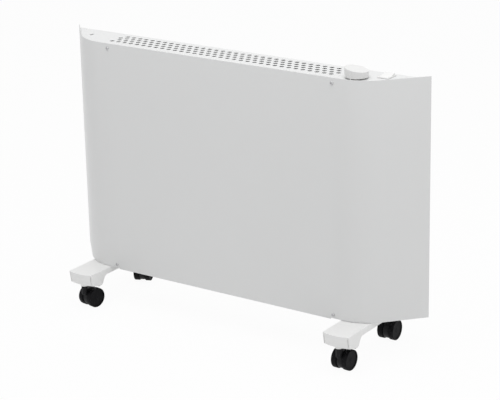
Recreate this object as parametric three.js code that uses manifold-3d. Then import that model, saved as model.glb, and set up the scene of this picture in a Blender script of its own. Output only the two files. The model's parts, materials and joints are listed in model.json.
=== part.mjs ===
// Convector heater with a flared steel front, a perforated top, a thermostat knob and a
// rocker switch, standing on two feet with twin-wheel castors.
// Millimetres, +Z up, +X to the right of someone facing the front, -Y towards the viewer.
// The model is first laid out with y = 0 on the wall side of the casing and z = 0 on the floor;
// the whole group is then moved along Y so that the origin is midway along the feet.

import * as THREE from 'three';
import { mergeGeometries, mergeVertices } from 'three/addons/utils/BufferGeometryUtils.js';
import Module from 'manifold-3d';

const wasm = await Module();
wasm.setup();

// ---------------------------------------------------------------- driving dimensions (mm)

const SEAT_GAP = 0.3;             // between pieces that rest on or next to each other
const RUNNING_GAP = 0.15;         // between a turning piece and what it turns in
const OVERRUN = 1;                // cuts and joined shapes run past a face by this much

// Casing
const CASING_HALF_WIDTH = 383.5;  // half width over the rear edges of the flared sides
const CASING_DEPTH = 92;          // rear edges to the front face
const CASING_BOTTOM = 73.7;       // floor to the bottom edge over the feet
const CASING_HEIGHT = 440;
const FLARE_DEG = 42.3;           // each side, away from straight back
const CORNER_RADIUS = 91;         // upright bend between front and side
const SHELL_SHEET = 1.2;
const APRON_DROP = 2;             // the middle of the bottom edge hangs this much lower
const APRON_INSET = 22.2;         // from each end of the flat front
const BEND_STEPS = 9;

// Inner sheet metal
const PANEL_SHEET = 1.2;          // rear panel, top and bottom plates
const REAR_SETBACK = 15;          // wall to the back face of the rear panel
const TOP_RECESS = 1;             // top plate below the shell's top edge
const LIP_HEIGHT = 18;            // folded lips behind the front face
const LIP_INSET = 7.2;            // from each end of the flat front
const PARTITION_INSET = 15.2;     // inner face of each partition, from the end of the flat front
const PARTITION_SHEET = 1;
const PARTITION_LIP = 12;
const REAR_FLANGE_INSET = 14.3;   // from each side edge of the rear panel
const REAR_FLANGE_DEPTH = 14;

// Air holes in the top plate: staggered rows of round holes
const HOLE_RADIUS = 5.4;
const HOLE_SIDES = 6;
const HOLE_PITCH = 14.4;
const HOLE_ROWS = 4;
const HOLES_START_REACH = 4;      // first hole's middle, beyond the left partition
const HOLES_END_INSET = 4;        // last hole's middle at most here, short of the right partition
const HOLE_FIELD_Y = -50;         // middle of the field of holes

// Air slots in the bottom plate and in the rear panel
const INTAKE_LENGTH = 26;
const INTAKE_WIDTH = 7;
const INTAKE_PITCH_X = 36;
const INTAKE_PITCH_Y = 16;
const INTAKE_ROWS = 3;
const VENT_WIDTH = 7;
const VENT_HEIGHT = 34;
const VENT_PITCH = 30;
const VENT_Z = 120;

// Hanging slots in the rear panel
const HOOK_X = 200;
const HOOK_DROP = 82;             // below the casing's top edge
const HOOK_HEAD_RADIUS = 6;
const HOOK_SLOT_WIDTH = 6;
const HOOK_SLOT_LENGTH = 16;
const HOOK_STEPS = 10;

// Front screws
const SCREW_INSET = 17.5;         // from each end of the flat front
const SCREW_TOP_INSET = 9.4;      // below the shell's top edge
const SCREW_BOTTOM_INSET = 7;     // above the shell's bottom edge
const SCREW_HEAD_RADIUS = 3;
const SCREW_HEAD_FLAT = 1.8;
const SCREW_HEAD_HEIGHT = 1.7;
const SCREW_SHANK_RADIUS = 1.8;
const SCREW_LENGTH = 9;
const SCREW_CLEARANCE = 0.4;
const SCREW_SEAT_GAP = 0.1;
const SCREW_SIDES = 10;

// Heating element: ribbed extrusion on a straight heating rod
const ELEMENT_Y = -53;
const ELEMENT_Z = 172;
const ELEMENT_END_GAP = 20;       // to each partition
const ELEMENT_CORE_RADIUS = 9;
const ELEMENT_FIN_RADIUS = 28;
const ELEMENT_FIN_THICKNESS = 2;
const ELEMENT_FIN_COUNT = 10;
const ROD_RADIUS = 4.2;
const ROD_SIDES = 12;
const ROD_REACH = 18;             // beyond the inner face of each partition
const ROD_PIN_RADIUS = 2;
const ROD_PIN_LENGTH = 12;
const INSULATOR_COLLAR_RADIUS = 13;
const INSULATOR_COLLAR = 5;
const INSULATOR_BODY_RADIUS = 8.5;
const INSULATOR_NOSE = 9;         // stands out beyond the partition

// Thermostat and knob
const KNOB_INSET = 106;           // from the casing's rear right edge
const KNOB_Y = -69;
const KNOB_RADIUS = 20.8;
const KNOB_HEIGHT = 13.8;         // at its axis, under the slanting top
const KNOB_LIFT = 1.4;            // above the shell's top edge
const KNOB_TILT_DEG = 9;          // slant of its top
const KNOB_HIGH_SIDE_DEG = 199;   // plan direction of the high side
const KNOB_WALL = 3;
const KNOB_SIDES = 28;
const KNOB_EDGE = 1.4;
const KNOB_POINTER_WIDTH = 2.4;
const KNOB_POINTER_DROP = 0.9;
const KNOB_POINTER_OUT = 0.2;
const SPINDLE_RADIUS = 3;
const SPINDLE_SIDES = 16;
const SPINDLE_SHORT = 5.1;        // end of the spindle, below the knob's top at its axis
const BUSH_RADIUS = 4.8;
const BUSH_ABOVE_PLATE = 4.6;
const NUT_HALF_WIDTH = 7;
const NUT_HEIGHT = 2.6;
const THERMOSTAT_SIZE = [32, 26, 32];

// Rocker switch
const SWITCH_INSET = 65;          // from the casing's rear right edge
const SWITCH_Y = -38.5;
const BEZEL_WIDTH = 22;
const BEZEL_LENGTH = 28.5;
const BEZEL_HEIGHT = 1.8;
const BEZEL_RIM = 1.6;
const SWITCH_BODY_INSET = 1;      // body inside the bezel's outline
const SWITCH_BODY_DEPTH = 22;
const ROCKER_TILT_DEG = 8;
const ROCKER_SIDE_GAP = 0.4;
const ROCKER_DEPTH = 6;
const ROCKER_FLOOR_GAP = 2;
const ROCKER_PIN_RADIUS = 1.3;
const ROCKER_PIN_REACH = 0.4;     // into each side of the well
const ROCKER_PIN_END_GAP = 0.2;
const ROCKER_STAND = 0.6;         // its middle above the bezel
const ROCKER_KEEL = 5.5;          // half length of its lower edge

// Control compartment
const TERMINAL_BLOCK = { z: 104, width: 38, depth: 17, height: 20 };
const TERMINAL_PITCH = 12;
const TERMINAL_WELL_RADIUS = 3;
const TERMINAL_WELL_DEPTH = 5;
const GLAND_INSET = 68;           // from the casing's rear right edge
const GLAND_Z = 89;
const GLAND_BODY_RADIUS = 7.5;
const GLAND_COLLAR_RADIUS = 11;
const GLAND_COLLAR = 4;
const GLAND_BORE_RADIUS = 4;
const GLAND_OUTSIDE = 9;
const GLAND_INSIDE = 12;
const GLAND_SIDES = 14;
const GLAND_NUT_RADIUS = 10.5;
const GLAND_NUT_THICKNESS = 4;
const CUTOUT = { y: -50, drop: 182, thickness: 8, width: 18, height: 30 };
const CUTOUT_BUTTON_RADIUS = 3.5;
const CUTOUT_BUTTON_HEIGHT = 3;
const BULB_OFFSET = 7;            // from the right partition
const BULB_Y = -30;
const BULB_Z = 84;
const BULB_LENGTH = 52;
const BULB_RADIUS = 3;
const CLIP_SIZE = [9.2, 10, 10];
const WIRE_RADIUS = 1.4;
const CAPILLARY_RADIUS = 1;
const WIRE_HOLE_RADIUS = 4;
const NEUTRAL_Y = -26;
const NEUTRAL_Z = 140;
const EARTH_INSET = 11;           // from the rear panel's flange
const EARTH_Z = 178;
const WIRE_STRAIGHT = 18;         // run straight out of a terminal
const WIRE_SHORT_STRAIGHT = 12;
const SWITCH_TERMINAL_Y = 7;      // each way from the switch's middle
const THERMOSTAT_TERMINAL_X = 9;  // each way from the spindle
const CAPILLARY_Y = -8;           // from the spindle
const CAPILLARY_STRAIGHT = 22;

// Bends of the leads: x from the right partition, y, and z below the casing's top
const SUPPLY_BEND = [57, -24, -212];
const THERMOSTAT_BEND = [55, -55, -58];
const CUTOUT_BEND = [11, -58, -112];
const CAPILLARY_BENDS = [[21, -70, -192], [15, -44, -297]];
const ELEMENT_BEND_RISE = 53;     // above the heating rod
const ELEMENT_BEND_OUT = 14;      // beyond the rod's pin
const NEUTRAL_BEND_OUT = 10;
const NEUTRAL_ENTRY = 48;         // starts to turn this far before the right partition

// Left end of the top plate
const SLOT_INSET = 71;            // from the casing's rear left edge
const SLOT_Y = -49.5;
const SLOT_WIDTH = 4;
const SLOT_LENGTH = 11;
const NOTCH_INSET = 35;           // from the casing's rear left edge
const NOTCH_SIZE = 5;

// Feet
const FOOT_INSET = 99;            // middle of each foot, from the casing's rear edge
const FOOT_WIDTH = 53;
const FOOT_HALF_LENGTH = 111;
const FOOT_CENTRE_Y = -46;        // midway along the feet, from the wall side of the casing
const FOOT_WALL = 2.5;
const FOOT_BAR_BOTTOM = 61.4;
const FOOT_END_BOTTOM = 44.5;
const FOOT_TOE_BOTTOM = 50.3;     // the end's lower edge rises towards the toe
const FOOT_TOE_SLANT = 4;         // the end face leans in by this much at its foot
const FOOT_END_FLAT_INSET = [27, 37.5]; // level stretch of the end's lower edge, from the toe
const FOOT_HEEL_CHAMFER = [2.5, 1.8];
const FOOT_HEEL_INSET = 45.4;     // foot of the fillet between the end's inner slope and the bar
const FOOT_HEEL_FILLET = [3.1, 2.6];
const FOOT_END_WALL = 8.1;        // thickness of each end at the top
const FOOT_BOW = 4.6;             // the end faces bow out in plan
const FOOT_BOW_FLAT = 9.1;        // half width of the straight middle of that bow
const FOOT_CORNER = 3;
const FOOT_SCREW_Y = 25;          // from the middle of the foot
const FOOT_SCREW_RADIUS = 2.4;
const FOOT_SCREW_HEAD_RADIUS = 5;
const FOOT_SCREW_HEAD_HEIGHT = 3;
const FOOT_SCREW_ABOVE = 7;       // above the bottom plate
const BOSS_RADIUS = 7;
const BOSS_BOTTOM = 45.2;

// Castors
const WHEEL_RADIUS = 19;
const WHEEL_SIDES = 16;
const WHEEL_INNER = 5.8;          // inner face from the middle of the castor
const WHEEL_OUTER = 16.1;
const WHEEL_EDGE = 1.4;
const WHEEL_DISH_RADIUS = 12.9;
const WHEEL_DISH_DEPTH = 0.9;
const WHEEL_HUB_DEPTH = 0.2;
const AXLE_RADIUS = 2.5;
const AXLE_SIDES = 12;
const AXLE_END_WALL = 2;
const CASTOR_TRAIL = 17;          // wheel axle behind the stem
const CASTOR_WEB_HALF = 5.3;
const CASTOR_WEB_RADIUS = 17.3;
const CASTOR_WEB_SIDES = 20;
const CASTOR_COLLAR_RADIUS = 5.6;
const CASTOR_COLLAR_BOTTOM = 27;
const CASTOR_WEB_TOP = 38.6;
const CASTOR_TOP = 44;
const STEM_INSET = 15;            // from the toe
const STEM_RADIUS = 4;
const STEM_BOTTOM = 30;
const STEM_TOP = 67.5;
const CASTOR_YAW_DEG = { front_left: -10, front_right: -2, rear_left: 202, rear_right: 182 };

// ---------------------------------------------------------------- worked-out dimensions

const CASING_TOP = CASING_BOTTOM + CASING_HEIGHT;
const PLATE_TOP = CASING_TOP - TOP_RECESS;
const PLATE_UNDERSIDE = PLATE_TOP - PANEL_SHEET;
const FLOOR_PLATE_TOP = CASING_BOTTOM + PANEL_SHEET;
const FLARE = THREE.MathUtils.degToRad(FLARE_DEG);
const FLAT_HALF_WIDTH = CASING_HALF_WIDTH - CASING_DEPTH * Math.tan(FLARE)
  - CORNER_RADIUS * Math.tan((Math.PI / 2 - FLARE) / 2);
const APRON_HALF_WIDTH = FLAT_HALF_WIDTH - APRON_INSET;
const INNER_INSET = SHELL_SHEET + SEAT_GAP;
const LIP_FRONT_Y = -CASING_DEPTH + INNER_INSET;
const LIP_BACK_Y = LIP_FRONT_Y + PANEL_SHEET;
const LIP_HALF_WIDTH = FLAT_HALF_WIDTH - LIP_INSET;
const REAR_PANEL_FRONT_Y = -REAR_SETBACK - PANEL_SHEET;
const PARTITION_FRONT_Y = LIP_BACK_Y + SEAT_GAP;
const PARTITION_BACK_Y = REAR_PANEL_FRONT_Y - SEAT_GAP;
const PARTITION_X = FLAT_HALF_WIDTH - PARTITION_INSET;
const PARTITION_OUTER_X = PARTITION_X + PARTITION_SHEET;
const REAR_HALF_WIDTH = halfWidthAt(REAR_PANEL_FRONT_Y, INNER_INSET);
const REAR_FLANGE_X = REAR_HALF_WIDTH - REAR_FLANGE_INSET;
const INTAKE_COLUMNS = Math.floor((2 * PARTITION_X) / INTAKE_PITCH_X) - 1;
const VENT_COUNT = Math.floor((2 * PARTITION_X) / VENT_PITCH) - 2;
const SCREW_X = FLAT_HALF_WIDTH - SCREW_INSET;
const UPPER_SCREW_Z = CASING_TOP - SCREW_TOP_INSET;
const LOWER_SCREW_Z = CASING_BOTTOM + SCREW_BOTTOM_INSET;
const SCREW_HOLE_RADIUS = SCREW_SHANK_RADIUS + SCREW_CLEARANCE;
const ELEMENT_HALF_LENGTH = PARTITION_X - ELEMENT_END_GAP;
const ROD_HALF_LENGTH = PARTITION_X + ROD_REACH;
const KNOB_X = CASING_HALF_WIDTH - KNOB_INSET;
const SWITCH_X = CASING_HALF_WIDTH - SWITCH_INSET;
const GLAND_X = CASING_HALF_WIDTH - GLAND_INSET;
const BULB_X = PARTITION_OUTER_X + BULB_OFFSET;
const EARTH_X = REAR_FLANGE_X - EARTH_INSET;
const SLOT_X = SLOT_INSET - CASING_HALF_WIDTH;
const NOTCH_X = NOTCH_INSET - CASING_HALF_WIDTH;
const CUTOUT_Z = CASING_TOP - CUTOUT.drop;
const HOOK_Z = CASING_TOP - HOOK_DROP;
const FOOT_X = CASING_HALF_WIDTH - FOOT_INSET;
const FOOT_END_FLAT = FOOT_END_FLAT_INSET.map((inset) => FOOT_HALF_LENGTH - inset);
const FOOT_END_HEEL = FOOT_HALF_LENGTH - FOOT_HEEL_INSET;
const STEM_OFFSET = FOOT_HALF_LENGTH - STEM_INSET;
const FOOT_TOP = CASING_BOTTOM - SEAT_GAP;
const FOOT_SCREW_HOLE_RADIUS = FOOT_SCREW_RADIUS + SEAT_GAP;
const KNOB_BASE = CASING_TOP + KNOB_LIFT;
const SWITCH_SEAT_Z = PLATE_TOP + SEAT_GAP;
const BEZEL_TOP = SWITCH_SEAT_Z + BEZEL_HEIGHT;
const ROCKER_PIVOT_Z = SWITCH_SEAT_Z;
const SIDES = { left: -1, right: 1 };
const ENDS = { front: -1, rear: 1 };

// ---------------------------------------------------------------- materials

function finish(color, roughness, metalness) {
  return new THREE.MeshStandardMaterial({ color, roughness, metalness, flatShading: true });
}

const FINISH = {
  paint: finish(0xe9eaea, 0.45, 0.1),
  innerSteel: finish(0xb4b7ba, 0.4, 0.8),
  whitePlastic: finish(0xeeeeec, 0.4, 0),
  blackPlastic: finish(0x1b1b1c, 0.5, 0),
  tread: finish(0x232324, 0.7, 0),
  aluminium: finish(0xc9ccce, 0.35, 0.9),
  steel: finish(0xa7aaad, 0.3, 0.9),
  ceramic: finish(0xe6e0d2, 0.6, 0),
  brass: finish(0xc9a658, 0.35, 0.9),
  copper: finish(0xb8744a, 0.35, 0.9),
  bakelite: finish(0x3a332e, 0.5, 0),
  blueWire: finish(0x2c5aa0, 0.5, 0),
  brownWire: finish(0x6b4226, 0.5, 0),
  greenWire: finish(0x6f9a3a, 0.5, 0),
};

// ---------------------------------------------------------------- geometry helpers

function signedVolume(position, index) {
  const a = new THREE.Vector3();
  const b = new THREE.Vector3();
  const c = new THREE.Vector3();
  let volume = 0;
  for (let i = 0; i < index.length; i += 3) {
    a.fromBufferAttribute(position, index[i]);
    b.fromBufferAttribute(position, index[i + 1]);
    c.fromBufferAttribute(position, index[i + 2]);
    volume += a.dot(b.cross(c)) / 6;
  }
  return volume;
}

// Shared corners merged, collapsed triangles dropped and faces turned outwards.
function weld(geometry) {
  const bare = geometry.clone();
  bare.deleteAttribute('normal');
  bare.deleteAttribute('uv');
  const merged = mergeVertices(bare, 1e-4);
  const source = Array.from(merged.index.array);
  let index = [];
  for (let i = 0; i < source.length; i += 3) {
    const [a, b, c] = source.slice(i, i + 3);
    if (a !== b && b !== c && c !== a) index.push(a, b, c);
  }
  if (signedVolume(merged.attributes.position, index) < 0) index = index.reverse();
  merged.setIndex(index);
  return merged;
}

function toSolid(geometry) {
  const welded = weld(geometry);
  return new wasm.Manifold(new wasm.Mesh({
    numProp: 3,
    vertProperties: Float32Array.from(welded.attributes.position.array),
    triVerts: Uint32Array.from(welded.index.array),
  }));
}

function toGeometry(solid) {
  const mesh = solid.getMesh();
  const geometry = new THREE.BufferGeometry();
  geometry.setAttribute('position', new THREE.BufferAttribute(Float32Array.from(mesh.vertProperties), 3));
  geometry.setIndex(Array.from(mesh.triVerts));
  return geometry;
}

function join(first, ...others) {
  return toGeometry(others.reduce((sum, part) => sum.add(toSolid(part)), toSolid(first)));
}

function cut(base, ...tools) {
  return toGeometry(tools.reduce((rest, tool) => rest.subtract(toSolid(tool)), toSolid(base)));
}

// Openings that don't touch each other, taken out of one base together.
function punch(base, openings) {
  return cut(base, mergeGeometries(openings.map(weld)));
}

function common(first, second) {
  return toGeometry(toSolid(first).intersect(toSolid(second)));
}

function block(x, y, z) {
  const geometry = new THREE.BoxGeometry(x[1] - x[0], y[1] - y[0], z[1] - z[0]);
  return geometry.translate((x[0] + x[1]) / 2, (y[0] + y[1]) / 2, (z[0] + z[1]) / 2);
}

function outline(points) {
  return new THREE.Shape(points.map(([u, v]) => new THREE.Vector2(u, v)));
}

function rectangle(u, v, width, height) {
  const [a, b] = [width / 2, height / 2];
  return [[u - a, v - b], [u + a, v - b], [u + a, v + b], [u - a, v + b]];
}

function ring(u, v, radius, sides, start = 0) {
  const step = (2 * Math.PI) / sides;
  const angle = (i) => start + i * step;
  return Array.from({ length: sides }, (_, i) => (
    [u + radius * Math.cos(angle(i)), v + radius * Math.sin(angle(i))]));
}

function extrude(points, depth) {
  return new THREE.ExtrudeGeometry(outline(points), { depth, bevelEnabled: false });
}

// Points (x, y) raised from z[0] to z[1].
function prismZ(points, z) {
  return extrude(points, z[1] - z[0]).translate(0, 0, z[0]);
}

// Points (y, z) drawn out from x[0] to x[1].
function prismX(points, x) {
  const turn = new THREE.Matrix4().makeBasis(
    new THREE.Vector3(0, 1, 0), new THREE.Vector3(0, 0, 1), new THREE.Vector3(1, 0, 0));
  return extrude(points, x[1] - x[0]).applyMatrix4(turn).translate(x[0], 0, 0);
}

// Points (x, z) drawn out from y[1] back to y[0].
function prismY(points, y) {
  const turn = new THREE.Matrix4().makeBasis(
    new THREE.Vector3(1, 0, 0), new THREE.Vector3(0, 0, 1), new THREE.Vector3(0, -1, 0));
  return extrude(points, y[1] - y[0]).applyMatrix4(turn).translate(0, y[1], 0);
}

// The span of a size centred on a place.
function around(middle, size) {
  return [middle - size / 2, middle + size / 2];
}

// A span widened past both of its ends, for openings that go right through.
function past([from, to]) {
  return [from - OVERRUN, to + OVERRUN];
}

const TURN_TO = {
  x: (geometry) => geometry.rotateZ(-Math.PI / 2),
  y: (geometry) => geometry,
  z: (geometry) => geometry.rotateX(Math.PI / 2),
};

// Profile points (radius, distance along the axis), turned about X, Y or Z.
function turned(axis, profile, sides, start = 0) {
  const points = profile.map(([radius, along]) => new THREE.Vector2(radius, along));
  return TURN_TO[axis](new THREE.LatheGeometry(points, sides, start));
}

function rod(axis, radius, from, to, sides, start = 0) {
  return turned(axis, [[0, from], [radius, from], [radius, to], [0, to]], sides, start);
}

// A polygon's corner radius when its flats lie at the given radius.
function overFlats(radius, sides) {
  return radius / Math.cos(Math.PI / sides);
}

function tube(points, radius, steps, sides = 5) {
  const path = new THREE.CatmullRomCurve3(points.map((p) => new THREE.Vector3(...p)), false, 'centripetal');
  const shape = outline(ring(0, 0, radius, sides));
  return new THREE.ExtrudeGeometry(shape, { steps, bevelEnabled: false, extrudePath: path });
}

function piece(name, geometry, material, place = [0, 0, 0]) {
  const mesh = new THREE.Mesh(weld(geometry), material);
  mesh.geometry.computeVertexNormals();
  mesh.name = name;
  mesh.position.set(...place);
  return mesh;
}

// ---------------------------------------------------------------- casing outline

// Half width of the casing at a depth y, a distance in from its outer face.
function halfWidthAt(y, inset) {
  return CASING_HALF_WIDTH + y * Math.tan(FLARE) - inset / Math.cos(FLARE);
}

// Plan of the front and sides a distance in from the outer face, cut off at backY,
// running from the rear left edge round the front to the rear right edge.
function casingPlan(inset, backY) {
  const turn = Math.PI / 2 - FLARE;
  const cornerX = CASING_HALF_WIDTH - CASING_DEPTH * Math.tan(FLARE);
  const centreX = cornerX - CORNER_RADIUS * Math.tan(turn / 2);
  const centreY = -CASING_DEPTH + CORNER_RADIUS;
  const radius = CORNER_RADIUS - inset;
  const right = [];
  for (let i = 0; i <= BEND_STEPS; i += 1) {
    const angle = -Math.PI / 2 + (turn * i) / BEND_STEPS;
    right.push([centreX + radius * Math.cos(angle), centreY + radius * Math.sin(angle)]);
  }
  right.push([halfWidthAt(backY, inset), backY]);
  const left = right.map(([x, y]) => [-x, y]).reverse();
  return [...left, ...right];
}

function frontShell() {
  const plan = [...casingPlan(0, 0), ...casingPlan(SHELL_SHEET, 0).reverse()];
  const apronBottom = CASING_BOTTOM - APRON_DROP;
  const relief = Object.values(SIDES).map((side) => {
    const [near, far] = [side * APRON_HALF_WIDTH, side * (CASING_HALF_WIDTH + OVERRUN)];
    return block([Math.min(near, far), Math.max(near, far)], past([-CASING_DEPTH, 0]),
      [apronBottom - OVERRUN, CASING_BOTTOM]);
  });
  const through = past([-CASING_DEPTH, -CASING_DEPTH + SHELL_SHEET]);
  const holes = screwPlaces().map(([x, z]) => (
    rod('y', SCREW_HOLE_RADIUS, ...through, SCREW_SIDES).translate(x, 0, z)));
  return cut(prismZ(plan, [apronBottom, CASING_TOP]), ...relief, ...holes);
}

function screwPlaces() {
  return [UPPER_SCREW_Z, LOWER_SCREW_Z].flatMap((z) => [[-SCREW_X, z], [SCREW_X, z]]);
}

// A plate inside the shell, with a folded lip behind the front face that takes two screws.
function casingPlate(z, lipZ, screwZ, holes) {
  const sheet = prismZ(casingPlan(INNER_INSET, -REAR_SETBACK), z);
  const plate = punch(sheet, holes.map((hole) => prismZ(hole, past(z))));
  const lip = block([-LIP_HALF_WIDTH, LIP_HALF_WIDTH], [LIP_FRONT_Y, LIP_BACK_Y], lipZ);
  const screwHoles = [-SCREW_X, SCREW_X].map((x) => rod('y', SCREW_HOLE_RADIUS,
    ...past([LIP_FRONT_Y, LIP_BACK_Y]), SCREW_SIDES).translate(x, 0, screwZ));
  return cut(join(plate, lip), ...screwHoles);
}

function airHoles() {
  const rowPitch = HOLE_PITCH * Math.sin(Math.PI / 3);
  const holes = [];
  for (let row = 0; row < HOLE_ROWS; row += 1) {
    const y = HOLE_FIELD_Y + (row - (HOLE_ROWS - 1) / 2) * rowPitch;
    const start = -PARTITION_X - HOLES_START_REACH + (row % 2) * (HOLE_PITCH / 2);
    for (let x = start; x <= PARTITION_X - HOLES_END_INSET; x += HOLE_PITCH) {
      holes.push(ring(x, y, HOLE_RADIUS, HOLE_SIDES, Math.PI / HOLE_SIDES));
    }
  }
  return holes;
}

function topGrille() {
  const bushHole = ring(KNOB_X, KNOB_Y, overFlats(BUSH_RADIUS + SEAT_GAP, SPINDLE_SIDES), SPINDLE_SIDES);
  const bodyGap = 2 * (SEAT_GAP - SWITCH_BODY_INSET);
  const switchHole = rectangle(SWITCH_X, SWITCH_Y, BEZEL_WIDTH + bodyGap, BEZEL_LENGTH + bodyGap);
  const slot = rectangle(SLOT_X, SLOT_Y, SLOT_WIDTH, SLOT_LENGTH);
  const lipZ = [PLATE_TOP - LIP_HEIGHT, PLATE_TOP - PANEL_SHEET / 2];
  const plate = casingPlate([PLATE_UNDERSIDE, PLATE_TOP], lipZ, UPPER_SCREW_Z,
    [bushHole, switchHole, slot, ...airHoles()]);
  const notch = block(around(NOTCH_X, NOTCH_SIZE),
    [-REAR_SETBACK - NOTCH_SIZE, -REAR_SETBACK + OVERRUN], past([PLATE_UNDERSIDE, PLATE_TOP]));
  return cut(plate, notch);
}

function intakeSlots() {
  const slots = [];
  const middleY = (LIP_BACK_Y + REAR_PANEL_FRONT_Y) / 2;
  for (let column = 0; column < INTAKE_COLUMNS; column += 1) {
    for (let row = 0; row < INTAKE_ROWS; row += 1) {
      const x = (column - (INTAKE_COLUMNS - 1) / 2) * INTAKE_PITCH_X;
      const y = middleY + (row - (INTAKE_ROWS - 1) / 2) * INTAKE_PITCH_Y;
      slots.push(rectangle(x, y, INTAKE_LENGTH, INTAKE_WIDTH));
    }
  }
  return slots;
}

function bottomGrille() {
  const footHoles = Object.values(SIDES).flatMap((side) => Object.values(ENDS).map((end) => (
    ring(side * FOOT_X, FOOT_CENTRE_Y + end * FOOT_SCREW_Y, FOOT_SCREW_HOLE_RADIUS, SCREW_SIDES))));
  const lipZ = [FLOOR_PLATE_TOP - PANEL_SHEET / 2, CASING_BOTTOM + LIP_HEIGHT];
  return casingPlate([CASING_BOTTOM, FLOOR_PLATE_TOP], lipZ, LOWER_SCREW_Z, [...footHoles, ...intakeSlots()]);
}

// Round head opening with a narrower slot above it, in x and z.
function keyhole(x, z) {
  const half = HOOK_SLOT_WIDTH / 2;
  const start = Math.asin(half / HOOK_HEAD_RADIUS);
  const points = [];
  for (let i = 0; i <= HOOK_STEPS; i += 1) {
    const angle = Math.PI / 2 - start - (i / HOOK_STEPS) * (2 * Math.PI - 2 * start);
    points.push([x + HOOK_HEAD_RADIUS * Math.cos(angle), z + HOOK_HEAD_RADIUS * Math.sin(angle)]);
  }
  return [...points, [x - half, z + HOOK_SLOT_LENGTH], [x + half, z + HOOK_SLOT_LENGTH]];
}

function rearPanel() {
  const z = [FLOOR_PLATE_TOP + SEAT_GAP, PLATE_UNDERSIDE - SEAT_GAP];
  const hooks = [-HOOK_X, HOOK_X].map((x) => keyhole(x, HOOK_Z));
  const vents = Array.from({ length: VENT_COUNT }, (_, i) => (
    rectangle((i - (VENT_COUNT - 1) / 2) * VENT_PITCH, VENT_Z, VENT_WIDTH, VENT_HEIGHT)));
  const glandHole = ring(GLAND_X, GLAND_Z, overFlats(GLAND_BODY_RADIUS + SEAT_GAP, GLAND_SIDES), GLAND_SIDES);
  const y = [REAR_PANEL_FRONT_Y, -REAR_SETBACK];
  const openings = [...hooks, ...vents, glandHole].map((hole) => prismY(hole, past(y)));
  const sheet = punch(block([-REAR_HALF_WIDTH, REAR_HALF_WIDTH], y, z), openings);
  const flanges = Object.values(SIDES).map((side) => {
    const outer = side * REAR_FLANGE_X;
    const inner = outer - side * PANEL_SHEET;
    return block([Math.min(outer, inner), Math.max(outer, inner)],
      [REAR_PANEL_FRONT_Y - REAR_FLANGE_DEPTH, REAR_PANEL_FRONT_Y + PANEL_SHEET / 2], z);
  });
  return join(sheet, ...flanges);
}

// Upright wall between the hot duct and the end of the casing, with folded outward edges.
function partition(side) {
  const span = (a, b) => (side > 0 ? [a, b] : [-b, -a]);
  const z = [FLOOR_PLATE_TOP + SEAT_GAP, PLATE_UNDERSIDE - SEAT_GAP];
  const wall = block(span(PARTITION_X, PARTITION_OUTER_X), [PARTITION_FRONT_Y, PARTITION_BACK_Y], z);
  const lip = span(PARTITION_OUTER_X - PARTITION_SHEET / 2, PARTITION_OUTER_X + PARTITION_LIP);
  const front = block(lip, [PARTITION_FRONT_Y, PARTITION_FRONT_Y + PARTITION_SHEET], z);
  const back = block(lip, [PARTITION_BACK_Y - PARTITION_SHEET, PARTITION_BACK_Y], z);
  const through = past(span(PARTITION_X, PARTITION_OUTER_X));
  const holeRadius = overFlats(INSULATOR_BODY_RADIUS + SEAT_GAP, ROD_SIDES);
  const insulatorHole = rod('x', holeRadius, ...through, ROD_SIDES).translate(0, ELEMENT_Y, ELEMENT_Z);
  const wireHole = rod('x', WIRE_HOLE_RADIUS, ...through, SCREW_SIDES).translate(0, NEUTRAL_Y, NEUTRAL_Z);
  return cut(join(wall, front, back), insulatorHole, wireHole);
}

function frontScrew() {
  const seat = -SCREW_SEAT_GAP;
  const profile = [
    [0, seat - SCREW_HEAD_HEIGHT],
    [SCREW_HEAD_FLAT, seat - SCREW_HEAD_HEIGHT],
    [SCREW_HEAD_RADIUS, seat - SCREW_HEAD_HEIGHT / 2],
    [SCREW_HEAD_RADIUS, seat],
    [SCREW_SHANK_RADIUS, seat],
    [SCREW_SHANK_RADIUS, SCREW_LENGTH],
    [0, SCREW_LENGTH],
  ];
  return turned('y', profile, SCREW_SIDES);
}

// ---------------------------------------------------------------- heating element

// Ribbed section: a round core with straight fins standing out of it, in y and z.
function finSection() {
  const half = ELEMENT_FIN_THICKNESS / 2;
  const root = Math.sqrt(ELEMENT_CORE_RADIUS ** 2 - half ** 2);
  const points = [];
  for (let i = 0; i < ELEMENT_FIN_COUNT; i += 1) {
    const angle = ((i + 0.5) * 2 * Math.PI) / ELEMENT_FIN_COUNT;
    const [c, s] = [Math.cos(angle), Math.sin(angle)];
    const corners = [[root, -half], [ELEMENT_FIN_RADIUS, -half], [ELEMENT_FIN_RADIUS, half], [root, half]];
    corners.forEach(([out, across]) => points.push([
      ELEMENT_Y + out * c - across * s,
      ELEMENT_Z + out * s + across * c,
    ]));
  }
  return points;
}

function heatingElement() {
  const x = [-ELEMENT_HALF_LENGTH, ELEMENT_HALF_LENGTH];
  const bore = rod('x', overFlats(ROD_RADIUS + RUNNING_GAP, ROD_SIDES), ...past(x), ROD_SIDES);
  return cut(prismX(finSection(), x), bore.translate(0, ELEMENT_Y, ELEMENT_Z));
}

function heatingRod() {
  const pinEnd = ROD_HALF_LENGTH + ROD_PIN_LENGTH;
  const profile = [
    [0, -pinEnd], [ROD_PIN_RADIUS, -pinEnd], [ROD_PIN_RADIUS, -ROD_HALF_LENGTH],
    [ROD_RADIUS, -ROD_HALF_LENGTH], [ROD_RADIUS, ROD_HALF_LENGTH],
    [ROD_PIN_RADIUS, ROD_HALF_LENGTH], [ROD_PIN_RADIUS, pinEnd], [0, pinEnd],
  ];
  return turned('x', profile, ROD_SIDES);
}

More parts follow.
